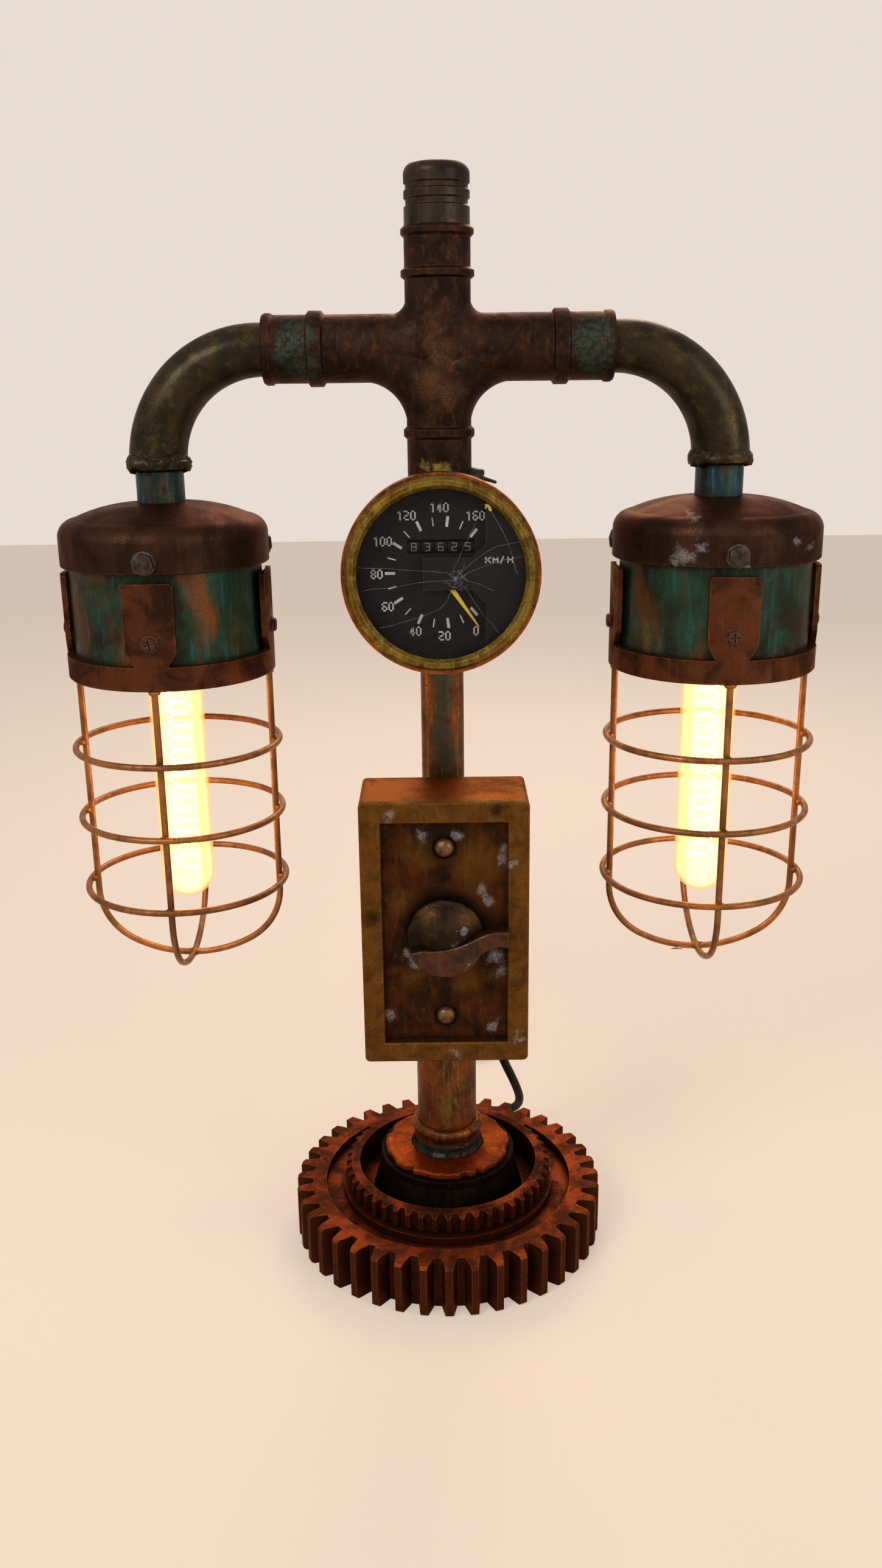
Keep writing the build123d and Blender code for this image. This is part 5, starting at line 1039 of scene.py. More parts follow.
# ---------------------------------------------------------------- lamp heads
@dataclass
class LampHeads:
    """Fasteners, welds, elbow beads and tie wire of both lamp heads."""

    shop: Workshop
    bolt_angles: Sequence[float] = (-90, 30, 150)
    bolt_height: float = 447.5
    bolt_seat: float = 58.5
    bolt_radius: float = 6.2
    screw_angles: Sequence[float] = (0, 90, 180, 270)
    screw_height: float = 404.0
    screw_seat: float = 59.5
    hoop_heights: Sequence[float] = (334.6, 291.7, 247.6)
    wire_circle: float = 56.0
    weld_circle: float = 58.0
    ring_bottom: float = 377.5
    cage_bottom: float = 197.0
    bead: Sequence[Spot] = (
        (13.6, 493.6), (15.6, 492.0), (17.2, 492.4), (18.2, 494.2), (18.3, 496.6),
        (17.6, 498.8), (16.4, 500.4), (15.2, 500.8), (14.4, 498.0), (13.6, 493.6))
    tie_wire: Sequence[Point] = (
        (9.0, -6.0, 4.0), (4.6, -3.4, 3.0), (1.6, -2.8, 1.4), (-1.8, -2.9, -0.6),
        (-3.4, -1.2, 0.2), (-2.9, 1.6, 1.6), (-0.5, 3.0, 2.2), (2.4, 2.4, 0.8),
        (3.0, -0.4, -1.2), (0.8, -2.9, -1.0), (-3.2, -4.4, 0.4), (-7.6, -5.6, 2.2),
        (-11.6, -5.4, 2.0), (-15.2, -3.6, -0.8), (-16.4, -1.2, -1.6), (-12.6, -0.4, -1.9),
        (-9.0, -1.4, -1.6))

    def _bolt(self) -> Form:
        """Hexagon bolt on its washer, pointing out along +Z."""
        hexagon = [polar(self.bolt_radius, math.pi * k / 3) for k in range(6)]
        form = Form().prism(hexagon, 4.6).soften(0.6, 3, 40).roughen(1.6, 0.22, 3.0)
        form.move(Matrix.Translation((0, 0, 0.8)))
        washer = Form().lathe(((3.6, 0), (6.3, -0.3), (6.6, 0.1), (6.4, 0.6), (5.8, 0.9),
                               (3.6, 1.0), (3.6, 0)), 40)
        shank = Form().lathe(((0, -11), (3.4, -11), (4.0, -10.4), (4.0, 1.0), (0, 1.0)), 24)
        return form.add(washer).add(shank)

    @staticmethod
    def _screw() -> Form:
        """Pan-head screw with a cross recess in a dished washer, pointing out along +Z."""
        head = Form().lathe(((0, 0.2), (4.0, 0.2), (4.05, 0.9), (3.8, 1.7), (3.2, 2.15),
                             (2.9, 2.2), (2.8, 1.0), (0, 1.0)), 40)
        quadrant = [(0.55, 0.55)] + [polar(2.95, math.radians(11 + 68 * k / 6))
                                     for k in range(7)]
        for turn in range(4):
            head.add(Form().prism(quadrant, 1.3), placed((0, 0, 0.95), spin=turn * math.pi / 2))
        washer = Form().lathe(((2.5, -0.2), (4.6, -0.2), (4.8, 0.1), (4.5, 0.4), (2.5, 0.4),
                               (2.5, -0.2)), 40)
        shank = Form().lathe(((0, -12), (1.6, -12), (2.0, -11.4), (2.0, 0.4), (0, 0.4)), 16)
        return head.add(washer).add(shank)

    @staticmethod
    def _round(form: Form, seat: float, height: float, angles: Iterable[float],
               seed: int) -> Form:
        """Copies of a fastener round both heads, each turned differently.

        Args:
            form: the fastener, pointing out along +Z.
            seat: distance of its seat from the head's axis.
            height: height of its axis.
            angles: where it sits, in degrees.
            seed: seed of the turns.

        Returns:
            One form with all copies.
        """
        dice = random.Random(seed)
        joined = Form()
        for side, _ in SIDES:
            for angle in angles:
                out = (*polar(1, math.radians(angle)), 0)
                place = (side * HEAD_REACH + out[0] * seat, out[1] * seat, height)
                joined.add(form, placed(place, out, dice.uniform(0, math.pi)))
        return joined

    def _welds(self, side: int, name: str) -> None:
        """Weld webs of one cage: at each crossing, under the ring and at the bottom."""
        form = Form()
        crossing, root, foot = (2.9, 3.3, 2.4), (2.8, 3.6, 2.6), (4.2, 1.9, 1.9)
        for turn in range(4):
            spots = [(crossing, self.weld_circle, height) for height in self.hoop_heights]
            spots += [(root, self.wire_circle, self.ring_bottom - 0.6),
                      (foot, 2.8, self.cage_bottom + 0.3)]
            for radii, reach, height in spots:
                out = Matrix.Rotation(math.pi / 2 * turn, 4, "Z")
                form.add(Form().blob(radii), out @ Matrix.Translation((reach, 0, height)))
        form.add(Form().blob((3.7, 3.7, 2.6)), placed((0, 0, self.cage_bottom + 0.2)))
        form.roughen(1.7, 0.7, 3.0 + side).move(placed((side * HEAD_REACH, 0, 0)))
        self.shop.piece(form, f"{name}_guard_welds", Finish.WIRE, "wire_copper", sharp=60)

    def _elbow_bead(self, side: int, name: str) -> None:
        """Ragged, half-melted bead round the elbow's lower mouth."""
        form = Form().lathe(self.bead, 150).roughen(9.0, 2.0, 13.0 + side * 3)
        form.roughen(3.6, 1.3, 2.0).roughen(1.3, 0.4, 6.0)
        form.move(placed((side * HEAD_REACH, 0, 0)))
        self.shop.piece(form, f"{name}_elbow_bead", Finish.ELBOW, "cast_bronze", sharp=70)

    def _tie_wire(self) -> None:
        """Thin loose wire twisted round the right cage's lowest crossing."""
        points = [Vector((HEAD_REACH + x, y, self.cage_bottom + z)) * MM
                  for x, y, z in self.tie_wire]
        self.shop.settle(Strand(0.32 * MM).mesh("tie_wire", points), Finish.WIRE, "wire_copper")

    def build(self) -> None:
        """Make the pieces of both heads."""
        bolts = self._round(self._bolt(), self.bolt_seat, self.bolt_height, self.bolt_angles, 4)
        self.shop.piece(bolts, "hex_bolts", Finish.BOLT, "bolt_steel", stands_for=["cap_bolts"])
        screws = self._round(self._screw(), self.screw_seat, self.screw_height,
                             self.screw_angles, 7)
        self.shop.piece(screws, "cross_head_screws", Finish.SCREW, "bolt_steel",
                        stands_for=["strap_screws"])
        for side, name in SIDES:
            self._welds(side, name)
            self._elbow_bead(side, name)
        self._tie_wire()


@dataclass
class Bulbs:
    """Glowing spiral filaments of both bulbs, a little uneven from turn to turn."""

    shop: Workshop
    top: float = 381.0
    bottom: float = 255.0
    circle: float = 6.2
    unevenness: float = 0.16
    pitch: float = 7.4
    wire: float = 0.5
    steps: int = 14
    wave_length: float = 9.0
    side_shift: float = 4.0

    def build(self) -> None:
        """Make both spirals."""
        tall = self.top - self.bottom
        count = round(tall / self.pitch * self.steps)
        for side, name in SIDES:
            points = []
            for step in range(count + 1):
                wave = noise.noise(Vector((step / self.wave_length, side * self.side_shift, 0)))
                x, y = polar(self.circle * (1 - self.unevenness * wave),
                             side * math.tau * step / self.steps)
                points.append(((side * HEAD_REACH + x) * MM, y * MM,
                               (self.bottom + tall * step / count) * MM))
            strand = Strand(self.wire * MM, smooth=3)
            self.shop.settle(strand.mesh(f"{name}_spiral_filament", points), Finish.FILAMENT,
                             "filament", stands_for=[f"{name}_filament"])


# ---------------------------------------------------------------- front pieces
@dataclass
class SwitchBox:
    """Knob with its half-moon grip, and the dome screws of the panel."""

    shop: Workshop
    centre: float = 235.75
    knob_back: float = 64.9
    panel_front: float = 64.5
    screw_rise: float = 52.0
    dome_radius: float = 20.2
    dome_foot: float = 5.4
    dome_top: float = 14.0
    grip_rim: float = 21.5
    grip_bottom: float = 5.0
    grip_height: float = 9.6
    spindle: float = 14.0

    def _dome(self) -> None:
        """Turned knob with a glossy dome."""
        rise = self.dome_top - self.dome_foot
        sphere = (self.dome_radius ** 2 + rise ** 2) / (2 * rise)
        crown = [(reach, self.dome_top - sphere + math.sqrt(sphere ** 2 - reach * reach))
                 for reach in (self.dome_radius, 18.5, 16.5, 14, 11, 8, 5, 2.5, 0)]
        skirt = [(0, -self.spindle), (3, -self.spindle), (3, 0), (21.0, 0), (21.8, 0.4),
                 (22.0, 1.1), (22.0, 3.4), (21.7, 4.2), (21.0, 4.9)]
        form = Form().lathe(skirt + crown, 96).roughen(9.0, 0.35, 6.0)
        form.move(on_front(self.centre, self.knob_back))
        self.shop.piece(form, "knob_dome", Finish.KNOB, "knob_black", "knob", ["switch_knob"])

    def _grip(self) -> None:
        """Half-moon grip whose pointer reaches past the knob's rim."""
        x, y = polar(self.grip_rim, math.radians(18))
        left = (-x, -y)
        x, y = polar(self.grip_rim, math.radians(24))
        right = (x, -y)
        outline = (arc((-13.9, -4.9), (4.5, -3.4), (17.6, 2.3), 14)
                   + arc((17.6, 2.3), (25.0, 5.2), (36.0, 5.8), 10) + [(36.0, 5.8)]
                   + arc((36.0, -4.2), (26.5, -4.3), right, 8)
                   + arc(right, (0, -self.grip_rim), left, 28) + [left])
        form = Form().prism(outline, self.grip_height).soften(1.3, 4, 25).roughen(5.0, 0.3, 11.0)
        form.move(on_front(self.centre, self.knob_back) @ placed((0, 0, self.grip_bottom)))
        self.shop.piece(form, "knob_grip", Finish.GRIP, "knob_black", "knob", sharp=50)

    def _screws(self) -> None:
        """Dome screws of the panel, each in a dark dished ring that is a painted shadow round it.
        """
        domes, rings = Form(), Form()
        dome = Form().lathe(((0, -9), (2.5, -9), (2.5, 0), (5.2, 0), (5.5, 0.5), (5.3, 1.6),
                             (4.6, 2.7), (3.4, 3.6), (1.8, 4.1), (0, 4.25)), 40)
        dome.roughen(2.5, 0.15, 1.0)
        # Dark ring round each screw: a painted shadow.
        ring = Form().lathe(((5.2, 0), (7.0, 0), (6.8, 0.3), (6.2, 0.5), (5.6, 0.4),
                             (5.2, 0.1), (5.2, 0)), 48)
        for end in (-1, 1):
            place = on_front(self.centre + end * self.screw_rise, self.panel_front)
            domes.add(dome, place)
            rings.add(ring, place)
        self.shop.piece(domes, "dome_screws", Finish.DOME, "bolt_steel",
                        stands_for=["panel_screws"])
        self.shop.piece(rings, "dome_screw_rings", Finish.HUB, "box_rust")

    def build(self) -> None:
        """Make the box's front pieces."""
        self._dome()
        self._grip()
        self._screws()


BOWL = ((0, 0, 1, 0), (1, 0, 1, 1), (1, 1, 0, 1), (0, 1, 0, 0))
GLYPHS: dict[str, tuple[Quad, ...]] = {
    "0": BOWL,
    "1": ((0.62, 0, 0.62, 1), (0.62, 1, 0.2, 0.86)),
    "2": ((0, 1, 1, 1), (1, 1, 1, 0.55), (1, 0.55, 0, 0.42), (0, 0.42, 0, 0), (0, 0, 1, 0)),
    "3": ((0, 1, 1, 1), (1, 1, 1, 0), (1, 0, 0, 0), (0.3, 0.52, 1, 0.52)),
    "4": ((0.72, 0, 0.72, 1), (0.72, 1, 0, 0.3), (0, 0.3, 1, 0.3)),
    "5": ((1, 1, 0, 1), (0, 1, 0, 0.55), (0, 0.55, 1, 0.55), (1, 0.55, 1, 0), (1, 0, 0, 0)),
    "6": ((1, 1, 0, 1), (0, 1, 0, 0), (0, 0, 1, 0), (1, 0, 1, 0.52), (1, 0.52, 0, 0.52)),
    "8": (*BOWL, (0, 0.52, 1, 0.52)),
    "K": ((0, 0, 0, 1), (0, 0.42, 1, 1), (0.28, 0.56, 1, 0)),
    "M": ((0, 0, 0, 1), (0, 1, 0.5, 0.35), (0.5, 0.35, 1, 1), (1, 1, 1, 0)),
    "H": ((0, 0, 0, 1), (1, 0, 1, 1), (0, 0.5, 1, 0.5)),
    "/": ((0, -0.1, 0.6, 1.1),),
}
BLOW: Spot = (7.6, -2.4)


@dataclass(frozen=True)
class Lettering:
    """Square stroked figures and letters: their middle lines, the gap and the stroke's width."""

    height: float
    width: float
    gap: float
    weight: float

    def write(self, form: Form, text: str, centre: Spot, place: Matrix) -> None:
        """Add a text to a form.

        Args:
            form: the form that takes it.
            text: what it says.
            centre: middle of the text on its face.
            place: placement of the face.
        """
        step = self.width + self.gap + self.weight
        left = centre[0] - (len(text) - 1) * step / 2 - self.width / 2
        for index, glyph in enumerate(text):
            x, y = left + index * step, centre[1] - self.height / 2
            for x0, y0, x1, y1 in GLYPHS[glyph]:
                form.stroke((x + x0 * self.width, y + y0 * self.height),
                            (x + x1 * self.width, y + y1 * self.height), self.weight, place)


@dataclass
class Gauge:
    """Figures and marks of the dial, the odometer's figures and the cracks in the glass."""

    shop: Workshop
    centre: float = 440.0
    dial_front: float = 53.0
    bridge_front: float = 58.2
    glass_front: float = 62.5
    zero_angle: float = 140.0
    mark_turn: float = 16.25
    marks: int = 17
    mark_ends: Spot = (25.4, 29.4)
    mark_widths: Spot = (1.5, 0.6)
    figures: Sequence[Spot] = (
        (18.7, -31.6), (1.6, -34.2), (-14.3, -31.5), (-29.0, -17.9), (-34.6, -0.4),
        (-31.0, 17.0), (-18.1, 30.5), (-0.6, 34.5), (18.5, 30.0))
    figure_lettering: Lettering = Lettering(4.3, 2.2, 0.55, 0.8)
    unit_centre: Spot = (31.0, 7.2)
    unit_lettering: Lettering = Lettering(2.7, 2.5, 0.75, 0.66)
    odometer: str = "83625"
    odometer_lettering: Lettering = Lettering(4.0, 2.4, 0.0, 0.42)
    odometer_pitch: float = 7.2
    odometer_rise: float = 14.0
    drum_radius: float = 6.5
    drum_front: float = 51.1
    crack_stray: float = 0.5
    crack_widths: Sequence[Spot] = ((0.03, 0.08), (0.03, 0.07))
    crack_proud: float = 0.03
    splinters: int = 48
    splinter_spread: float = 4.2
    splinter_run: float = 0.9
    splinter_width: Spot = (0.04, 0.10)
    chip: Sequence[Spot] = (
        (23.0, 36.4), (24.2, 36.9), (25.6, 36.3), (26.6, 34.9), (26.9, 33.4), (26.1, 32.9),
        (25.3, 33.6), (24.9, 34.6), (25.2, 35.3), (24.4, 35.2), (23.9, 34.2), (23.2, 34.6),
        (23.6, 35.5))
    cracks: Sequence[Sequence[Spot]] = (
        (BLOW, (3.5, 1.2), (-2.0, 1.8), (-10.0, 2.4), (-22.0, 3.2), (-34.0, 4.0), (-44.6, 4.6)),
        (BLOW, (6.4, 3.2), (9.6, 9.0), (13.2, 17.0), (15.6, 21.6), (18.6, 27.0)),
        (BLOW, (14.0, 1.0), (22.0, 4.2), (33.0, 7.6), (43.0, 9.4)),
        (BLOW, (12.0, 2.6), (20.0, 9.4), (30.0, 15.0), (41.4, 17.0)),
        (BLOW, (12.6, -6.8), (17.0, -13.6), (22.8, -22.0), (30.6, -31.2)),
        (BLOW, (6.2, -8.0), (3.6, -12.6), (-1.0, -18.0), (-9.8, -21.8), (-20.0, -24.6),
         (-33.2, -27.8)),
        ((-42.0, -8.0), (-30.0, -6.6), (-18.0, -4.8), (-6.0, -3.2), BLOW),
        ((24.4, 37.0), (28.0, 30.4), (33.4, 21.0), (37.6, 10.0), (39.6, 1.6), (40.6, 0.6)),
        (BLOW, (11.0, -1.2), (14.6, -3.4), (20.6, -5.0), (28.0, -8.6)),
        (BLOW, (4.4, -4.4), (1.4, -4.0)), (BLOW, (9.4, 1.6), (12.2, 4.0), (12.6, 6.4)),
        ((3.4, -0.2), (6.2, 1.8), (10.0, 1.4), (12.4, -1.4)),
        ((5.0, -6.0), (8.6, -6.6), (11.2, -4.4)))

    def _dial(self) -> None:
        """Marks and figures round the dial, and the unit on the raised plate."""
        form, words = Form(), Form()
        place = on_front(self.centre, self.dial_front)
        for mark in range(self.marks):
            clock = math.radians(self.zero_angle + mark * self.mark_turn)
            out = Vector((math.sin(clock), math.cos(clock)))
            inner, outer = (tuple(out * reach) for reach in self.mark_ends)
            form.stroke(inner, outer, self.mark_widths[mark % 2], place)
            if mark % 2 == 0:
                self.figure_lettering.write(form, str(mark * 10), self.figures[mark // 2], place)
        self.shop.piece(form, "dial_figures", Finish.FIGURES, "dial_black")
        self.unit_lettering.write(words, "KM/H", self.unit_centre,
                                  on_front(self.centre, self.bridge_front))
        self.shop.piece(words, "dial_unit", Finish.FIGURES, "dial_black")

    def _odometer(self) -> None:
        """Figures on the odometer drums, bent round them."""
        form = Form()
        for index, glyph in enumerate(self.odometer):
            across = (index - (len(self.odometer) - 1) / 2) * self.odometer_pitch
            self.odometer_lettering.write(form, glyph, (across, -0.4), Matrix())
        bmesh.ops.subdivide_edges(form.mesh, edges=form.mesh.edges, cuts=2, use_grid_fill=True)
        for vert in form.mesh.verts:
            reach = math.sqrt(max(self.drum_radius ** 2 - vert.co.y ** 2, 0.0))
            vert.co.z -= self.drum_radius - reach
        form.move(on_front(self.centre + self.odometer_rise, self.drum_front))
        self.shop.piece(form, "odometer_figures", Finish.ODOMETER, "drum_black")

    def _cracks(self) -> None:
        """Cracks that run out from the blow in the glass, and the splinters round it."""
        dice = random.Random(12)
        form = Form()
        place = on_front(self.centre, self.glass_front)

        def astray(spot: Spot, reach: float) -> Spot:
            """A spot moved a little, up to the reach along each axis."""
            return spot[0] + dice.uniform(-reach, reach), spot[1] + dice.uniform(-reach, reach)

        for crack in self.cracks:
            for start, end in zip(crack, crack[1:]):
                middle = ((start[0] + end[0]) / 2, (start[1] + end[1]) / 2)
                spots = (start, astray(middle, self.crack_stray), end)
                for first, second, widths in zip(spots, spots[1:], self.crack_widths):
                    form.stroke(first, second, dice.uniform(*widths), place, self.crack_proud)
        for _ in range(self.splinters):
            reach = abs(dice.gauss(0, self.splinter_spread))
            x, y = polar(reach, dice.uniform(0, math.tau))
            start = (BLOW[0] + x, BLOW[1] + y)
            end = astray(start, self.splinter_run)
            form.stroke(start, end, dice.uniform(*self.splinter_width), place, self.crack_proud)
        self.shop.piece(form, "glass_cracks", Finish.CRACK, "gauge_glass")

    def build(self) -> None:
        """Make the gauge's figures, cracks and chip."""
        self._dial()
        self._odometer()
        self._cracks()
        chip = Form().prism(self.chip, 0.05).move(on_front(self.centre, self.glass_front))
        self.shop.piece(chip, "glass_chip", Finish.CHIP, "gauge_glass")


# ---------------------------------------------------------------- supply cord
@dataclass(frozen=True)
class Ribs:
    """Evenly spaced ribs of a strain relief."""

    count: int
    start: float
    pitch: float
    radius: float
    growth: float
    width: float
    depth: float

    def outline(self) -> list[Spot]:
        """The ribs as (reach, radius) points in order."""
        points = []
        for rib in range(self.count):
            reach, radius = self.start + rib * self.pitch, self.radius + rib * self.growth
            points += [(reach, radius), (reach + self.width, radius),
                       (reach + self.width + 0.1, radius - self.depth),
                       (reach + self.pitch - 0.1, radius - self.depth)]
        return points


@dataclass
class SupplyCord:
    """Supply cord with its relief and plug: a loose fall, then a flat coil of two layers."""

    shop: Workshop
    diameter: float = 6.2 * MM
    length: float = 1.80
    coil_outer: float = 42.5 * MM
    coil_inner: float = 20.8 * MM
    coil_turns: int = 7
    lead: float = 28 * MM
    plug_height: float = 6.85 * MM
    points_per_turn: int = 20
    climb_start: float = 0.46
    climb_share: float = 0.08
    route: Sequence[Point] = (
        (28.0, -6.0, 175.0), (28.0, 24.0, 175.0), (30.0, 50.0, 152.0), (32.0, 66.0, 116.0),
        (38.0, 79.0, 80.0), (50.0, 93.0, 48.0), (55.6, 105.5, 25.3), (48.6, 117.7, 10.3),
        (32.8, 128.7, 3.3), (14.4, 136.5, 3.3), (2.7, 153.9, 3.3), (1.0, 184.0, 3.3),
        (-11.5, 214.0, 3.3))
    relief_roots: Sequence[float] = (-20.0, -13.5)
    flange: Sequence[Spot] = (
        (0.0, 3.15), (0.0, 6.0), (6.5, 6.0), (6.5, 8.6), (6.9, 9.0), (11.0, 9.0), (11.5, 8.5),
        (11.5, 6.7))
    relief_ribs: Ribs = Ribs(11, 12.6, 2.3, 6.6, -0.21, 1.2, 0.75)
    relief_end: Sequence[Spot] = ((38.2, 4.2), (39.6, 3.9), (40.0, 3.15))
    plug_ribs: Ribs = Ribs(6, 0.6, 2.9, 3.95, 0.17, 1.6, 0.6)
    plug_rings: Sequence[Quad] = (
        (18.0, 12, 9.6, 0.6), (18.4, 19, 11.4, 0.5), (19.6, 24.4, 12.5, 0.42),
        (22.0, 26.0, 12.9, 0.4), (27.0, 27.6, 13.1, 0.4), (31.0, 30.6, 13.4, 0.4),
        (35.0, 33.8, 13.6, 0.4), (38.0, 35.2, 13.7, 0.4), (41.0, 35.2, 13.7, 0.4),
        (41.7, 34.6, 13.1, 0.4), (42.0, 33.0, 11.6, 0.4))
    plug_steps: int = 44
    grip_ribs: int = 4
    grip_start: float = 24.5
    grip_pitch: float = 3.0
    grip_face: float = 6.45
    pin_reach: float = 9.3
    pin_root: float = 42.0

    def _coil_points(self, end: Vector, before: Vector) -> list[Vector]:
        """Points of the lead-in, the coil's turns and the lead-out.

        Args:
            end: the route's last point.
            before: the point before it, which gives the run's direction.

        Returns:
            Control points up to the plug.
        """
        heading = Vector((end.x - before.x, end.y - before.y, 0)).normalized()
        joint = end + heading * self.lead
        centre = joint + Vector((heading.y, -heading.x, 0)) * self.coil_outer
        start = math.atan2(joint.y - centre.y, joint.x - centre.x) % math.tau
        sweep = (start - math.pi) + math.tau * self.coil_turns
        count = round(sweep / math.tau * self.points_per_turn)
        points = []
        for step in range(count + 1):
            share = step / count
            inward = 1 - abs(2 * share - 1)
            radius = self.coil_outer - (self.coil_outer - self.coil_inner) * inward
            climb = min(max((share - self.climb_start) / self.climb_share, 0.0), 1.0)
            spot = polar(radius, start - sweep * share)
            points.append(centre + Vector((*spot, climb * self.diameter)))
        tail = centre + Vector((-self.coil_outer, 0, 0))
        for share in (0.35, 0.75, 1.0):
            height = end.z + self.diameter + (self.plug_height - end.z - self.diameter) * share
            points.append(Vector((tail.x, tail.y + self.lead * share, height)))
        return points

    @staticmethod
    def _circle(centre: Vector, heading: Vector, radius: float, count: int = 28) -> list[Vector]:
        """Points of a circle in millimetres, square to a heading."""
        turn = placed(centre, heading)
        return [turn @ Vector((*polar(radius, math.tau * k / count), 0)) for k in range(count)]

    @staticmethod
    def _line(cord: bpy.types.Object) -> list[Vector]:
        """Points in millimetres along the cord's own spline."""
        bare = cord.data.copy()
        bare.bevel_depth = 0.0
        holder = bpy.data.objects.new("cord_line", bare)
        line = bpy.data.meshes.new_from_object(holder)
        points = [vert.co / MM for vert in line.vertices]
        bpy.data.objects.remove(holder)
        bpy.data.meshes.remove(line)
        return points

    def _relief(self, cord: bpy.types.Object) -> None:
        """Flanged, ribbed strain relief that tapers along the cord's first stretch."""
        line = self._line(cord)
        line = [line[0] + Vector((0, root, 0)) for root in self.relief_roots] + line
        rings = []
        for distance, radius in (*self.flange, *self.relief_ribs.outline(), *self.relief_end):
            left = distance
            for first, second in zip(line, line[1:]):
                if left <= (second - first).length:
                    break
                left -= (second - first).length
            heading = (second - first).normalized()
            rings.append(self._circle(first + heading * left, heading, radius))
        self.shop.piece(Form().skin(rings), "cord_strain_relief", Finish.RUBBER, "rubber_black",
                        stands_for=["cable_gland"], sharp=40)

    def _shell(self, tip: Vector) -> bpy.types.Object:
        """Moulded shell of the plug, with its own ribbed relief from the cord's tip on."""
        relief = [(0.0, 3.2), (0.0, 3.9), *self.plug_ribs.outline(), (18.0, 4.9), (18.6, 3.0)]
        out = Vector(BACK)
        body = Form().skin([self._circle(tip + out * reach, out, radius)
                            for reach, radius in relief])
        rings = []
        for reach, width, thickness, corner in self.plug_rings:
            ring = []
            for step in range(self.plug_steps):
                x, y = polar(1, math.tau * step / self.plug_steps)
                across = math.copysign(abs(x) ** corner, x) * width / 2
                up = math.copysign(abs(y) ** corner, y) * thickness / 2
                ring.append(tip + Vector((across, reach, up)))
            rings.append(ring)
        body.skin(rings, capped=True)
        for side in (-1, 1):
            for rib in range(self.grip_ribs):
                reach = self.grip_start + rib * self.grip_pitch
                place = placed(tip + Vector((0, reach, side * self.grip_face - 0.4)))
                body.add(Form().block(13, 1.0, 0.8).soften(0.3), place)
        return self.shop.piece(body, "plug_shell", Finish.RUBBER, "rubber_black",
                               stands_for=["plug_body"])

    def _plug(self, tip: Vector) -> list[bpy.types.Object]:
        """Flat two-pin plug at the cord's end, which is at the tip."""
        shell = self._shell(tip)
        pins, sleeves = Form(), Form()
        pin = Form().lathe(((0, -6), (1.7, -6), (1.7, 10.2), (2.0, 10.4), (2.0, 17.6),
                            (1.7, 18.5), (1.0, 18.9), (0, 19.0)), 24)
        sleeve = Form().lathe(((1.7, -0.4), (2.0, -0.4), (2.0, 10.0), (1.7, 10.3),
                               (1.7, -0.4)), 24)
        for side in (-1, 1):
            place = placed(tip + Vector((side * self.pin_reach, self.pin_root, 0)), BACK)
            pins.add(pin, place)
            sleeves.add(sleeve, place)
        blades = self.shop.piece(pins, "plug_blades", Finish.BRASS, "brass",
                                 stands_for=["plug_pins"])
        collars = self.shop.piece(sleeves, "plug_pin_sleeves", Finish.RUBBER, "rubber_black")
        return [shell, blades, collars]

    def build(self) -> None:
        points = [Vector(point) * MM for point in self.route]
        points += self._coil_points(points[-1], points[-2])
        cord = Strand(self.diameter / 2, 3, 6, 5).curve("supply_cord", points)
        bpy.context.collection.objects.link(cord)
        self.shop.paint.dress(cord, Finish.RUBBER)
        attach(cord, "stand")
        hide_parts("power_cord", "cord_coil")
        self._relief(cord)
        plug = self._plug(points[-1] / MM)


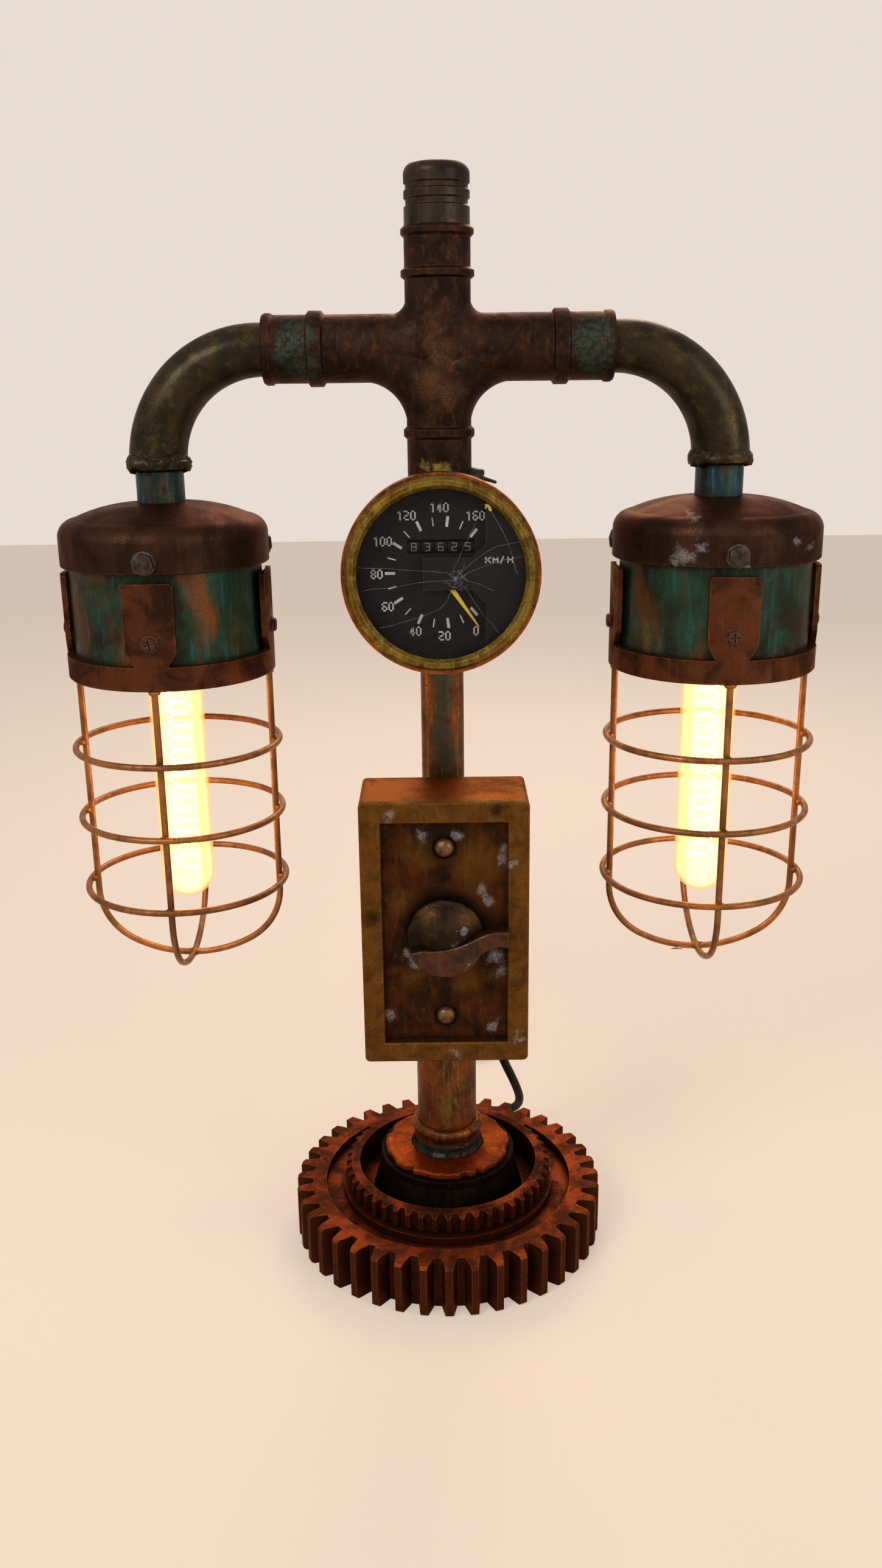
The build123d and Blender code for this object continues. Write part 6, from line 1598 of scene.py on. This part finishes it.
# ---------------------------------------------------------------- studio
@dataclass
class Studio:
    """Floor, soft lights, pale room and the camera."""

    eye: Point = (-1.4 * MM, -758 * MM, 537 * MM)
    look_down: float = 17.0
    roll: float = -0.7
    focal_share: float = 2150 / 2576
    sensor: float = 36.0
    nearest: float = 0.01
    floor_reach: float = 4.0
    floor_colour: Colour = (240, 222, 206)
    floor_lift: float = 0.5
    room_colour: Colour = (232, 220, 211)
    sky_colour: Colour = (236, 230, 226)
    sky_strength: float = 0.5
    lit_height: float = 0.35
    lights: Sequence[tuple[str, Point, float, float, Colour]] = (
        ("key", (-1.0, -1.3, 1.5), 0.9, 22, (255, 244, 230)),
        ("fill", (1.3, -1.1, 0.9), 1.1, 11, (255, 240, 224)),
        ("rim", (0.2, 1.3, 1.4), 1.0, 13, (255, 236, 214)))

    def _floor(self) -> None:
        """Make the pale floor, which camera, metal and glass see partly by its own colour."""
        mesh = bpy.data.meshes.new("floor")
        mesh.from_pydata([(x * self.floor_reach, y * self.floor_reach, 0)
                          for x, y in ((-1, -1), (1, -1), (1, 1), (-1, 1))], [], [(0, 1, 2, 3)])
        sheet = bpy.data.objects.new("floor", mesh)
        bpy.context.collection.objects.link(sheet)
        shader = Shader("floor")
        shader.set(Base_Color=linear(self.floor_colour), Roughness=0.9)
        shown = shader.node("ShaderNodeEmission", None, {"Color": linear(self.floor_colour)})
        shader.either(shader.seen() * self.floor_lift, Value(shader, shader.surface.outputs[0]),
                      shown, shader.output.inputs["Surface"])
        mesh.materials.append(shader.material)

    def _light(self, name: str, place: Point, size: float, watts: float, colour: Colour) -> None:
        """Make one soft light that looks at the lamp's middle."""
        data = bpy.data.lights.new(name, "AREA")
        data.shape = "DISK"
        data.size = size
        data.energy = watts
        data.color = linear(colour)[:3]
        light = bpy.data.objects.new(name, data)
        light.location = place
        light.rotation_mode = "QUATERNION"
        aim = Vector((0, 0, self.lit_height)) - Vector(place)
        light.rotation_quaternion = aim.to_track_quat("-Z", "Y")
        bpy.context.collection.objects.link(light)

    def _room(self) -> None:
        """Make the world: soft light, seen pale by the camera and by metal and glass."""
        world = bpy.data.worlds.new("room")
        world.use_nodes = True
        nodes = Nodes(world.node_tree)
        light = world.node_tree.nodes["Background"]
        light.inputs["Color"].default_value = linear(self.sky_colour)
        light.inputs["Strength"].default_value = self.sky_strength
        pale = nodes.node("ShaderNodeBackground", None, {"Color": linear(self.room_colour)})
        nodes.either(nodes.seen(), Value(nodes, light.outputs[0]), pale,
                     world.node_tree.nodes["World Output"].inputs["Surface"])
        bpy.context.scene.world = world

    def _camera(self) -> None:
        """Make the camera."""
        data = bpy.data.cameras.new("view")
        data.sensor_width = self.sensor
        data.lens = self.focal_share * self.sensor
        data.clip_start = self.nearest
        camera = bpy.data.objects.new("view", data)
        turn = Matrix.Rotation(math.radians(90 - self.look_down), 4, "X")
        camera.matrix_world = (Matrix.Translation(Vector(self.eye)) @ turn
                               @ Matrix.Rotation(math.radians(self.roll), 4, "Z"))
        bpy.context.collection.objects.link(camera)
        bpy.context.scene.camera = camera

    def build(self) -> None:
        """Make the stage, the lights, the world and the camera."""
        self._floor()
        for light in self.lights:
            self._light(*light)
        self._room()
        bpy.context.scene.view_settings.view_transform = "Standard"
        self._camera()


def main() -> None:
    """Build the lamp's looks in order and report each piece."""
    logging.basicConfig(level=logging.INFO, format="%(name)s: %(message)s")
    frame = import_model()
    paint = Paintbox()
    for node, finish in paint.nodes():
        paint.dress(frame["nodes"][node], finish)
    shop = Workshop(paint)
    for assembly in (GearBase, LampHeads, Bulbs, SwitchBox, Gauge, SupplyCord):
        assembly(shop).build()
    Studio().build()


if __name__ == "__main__":
    main()
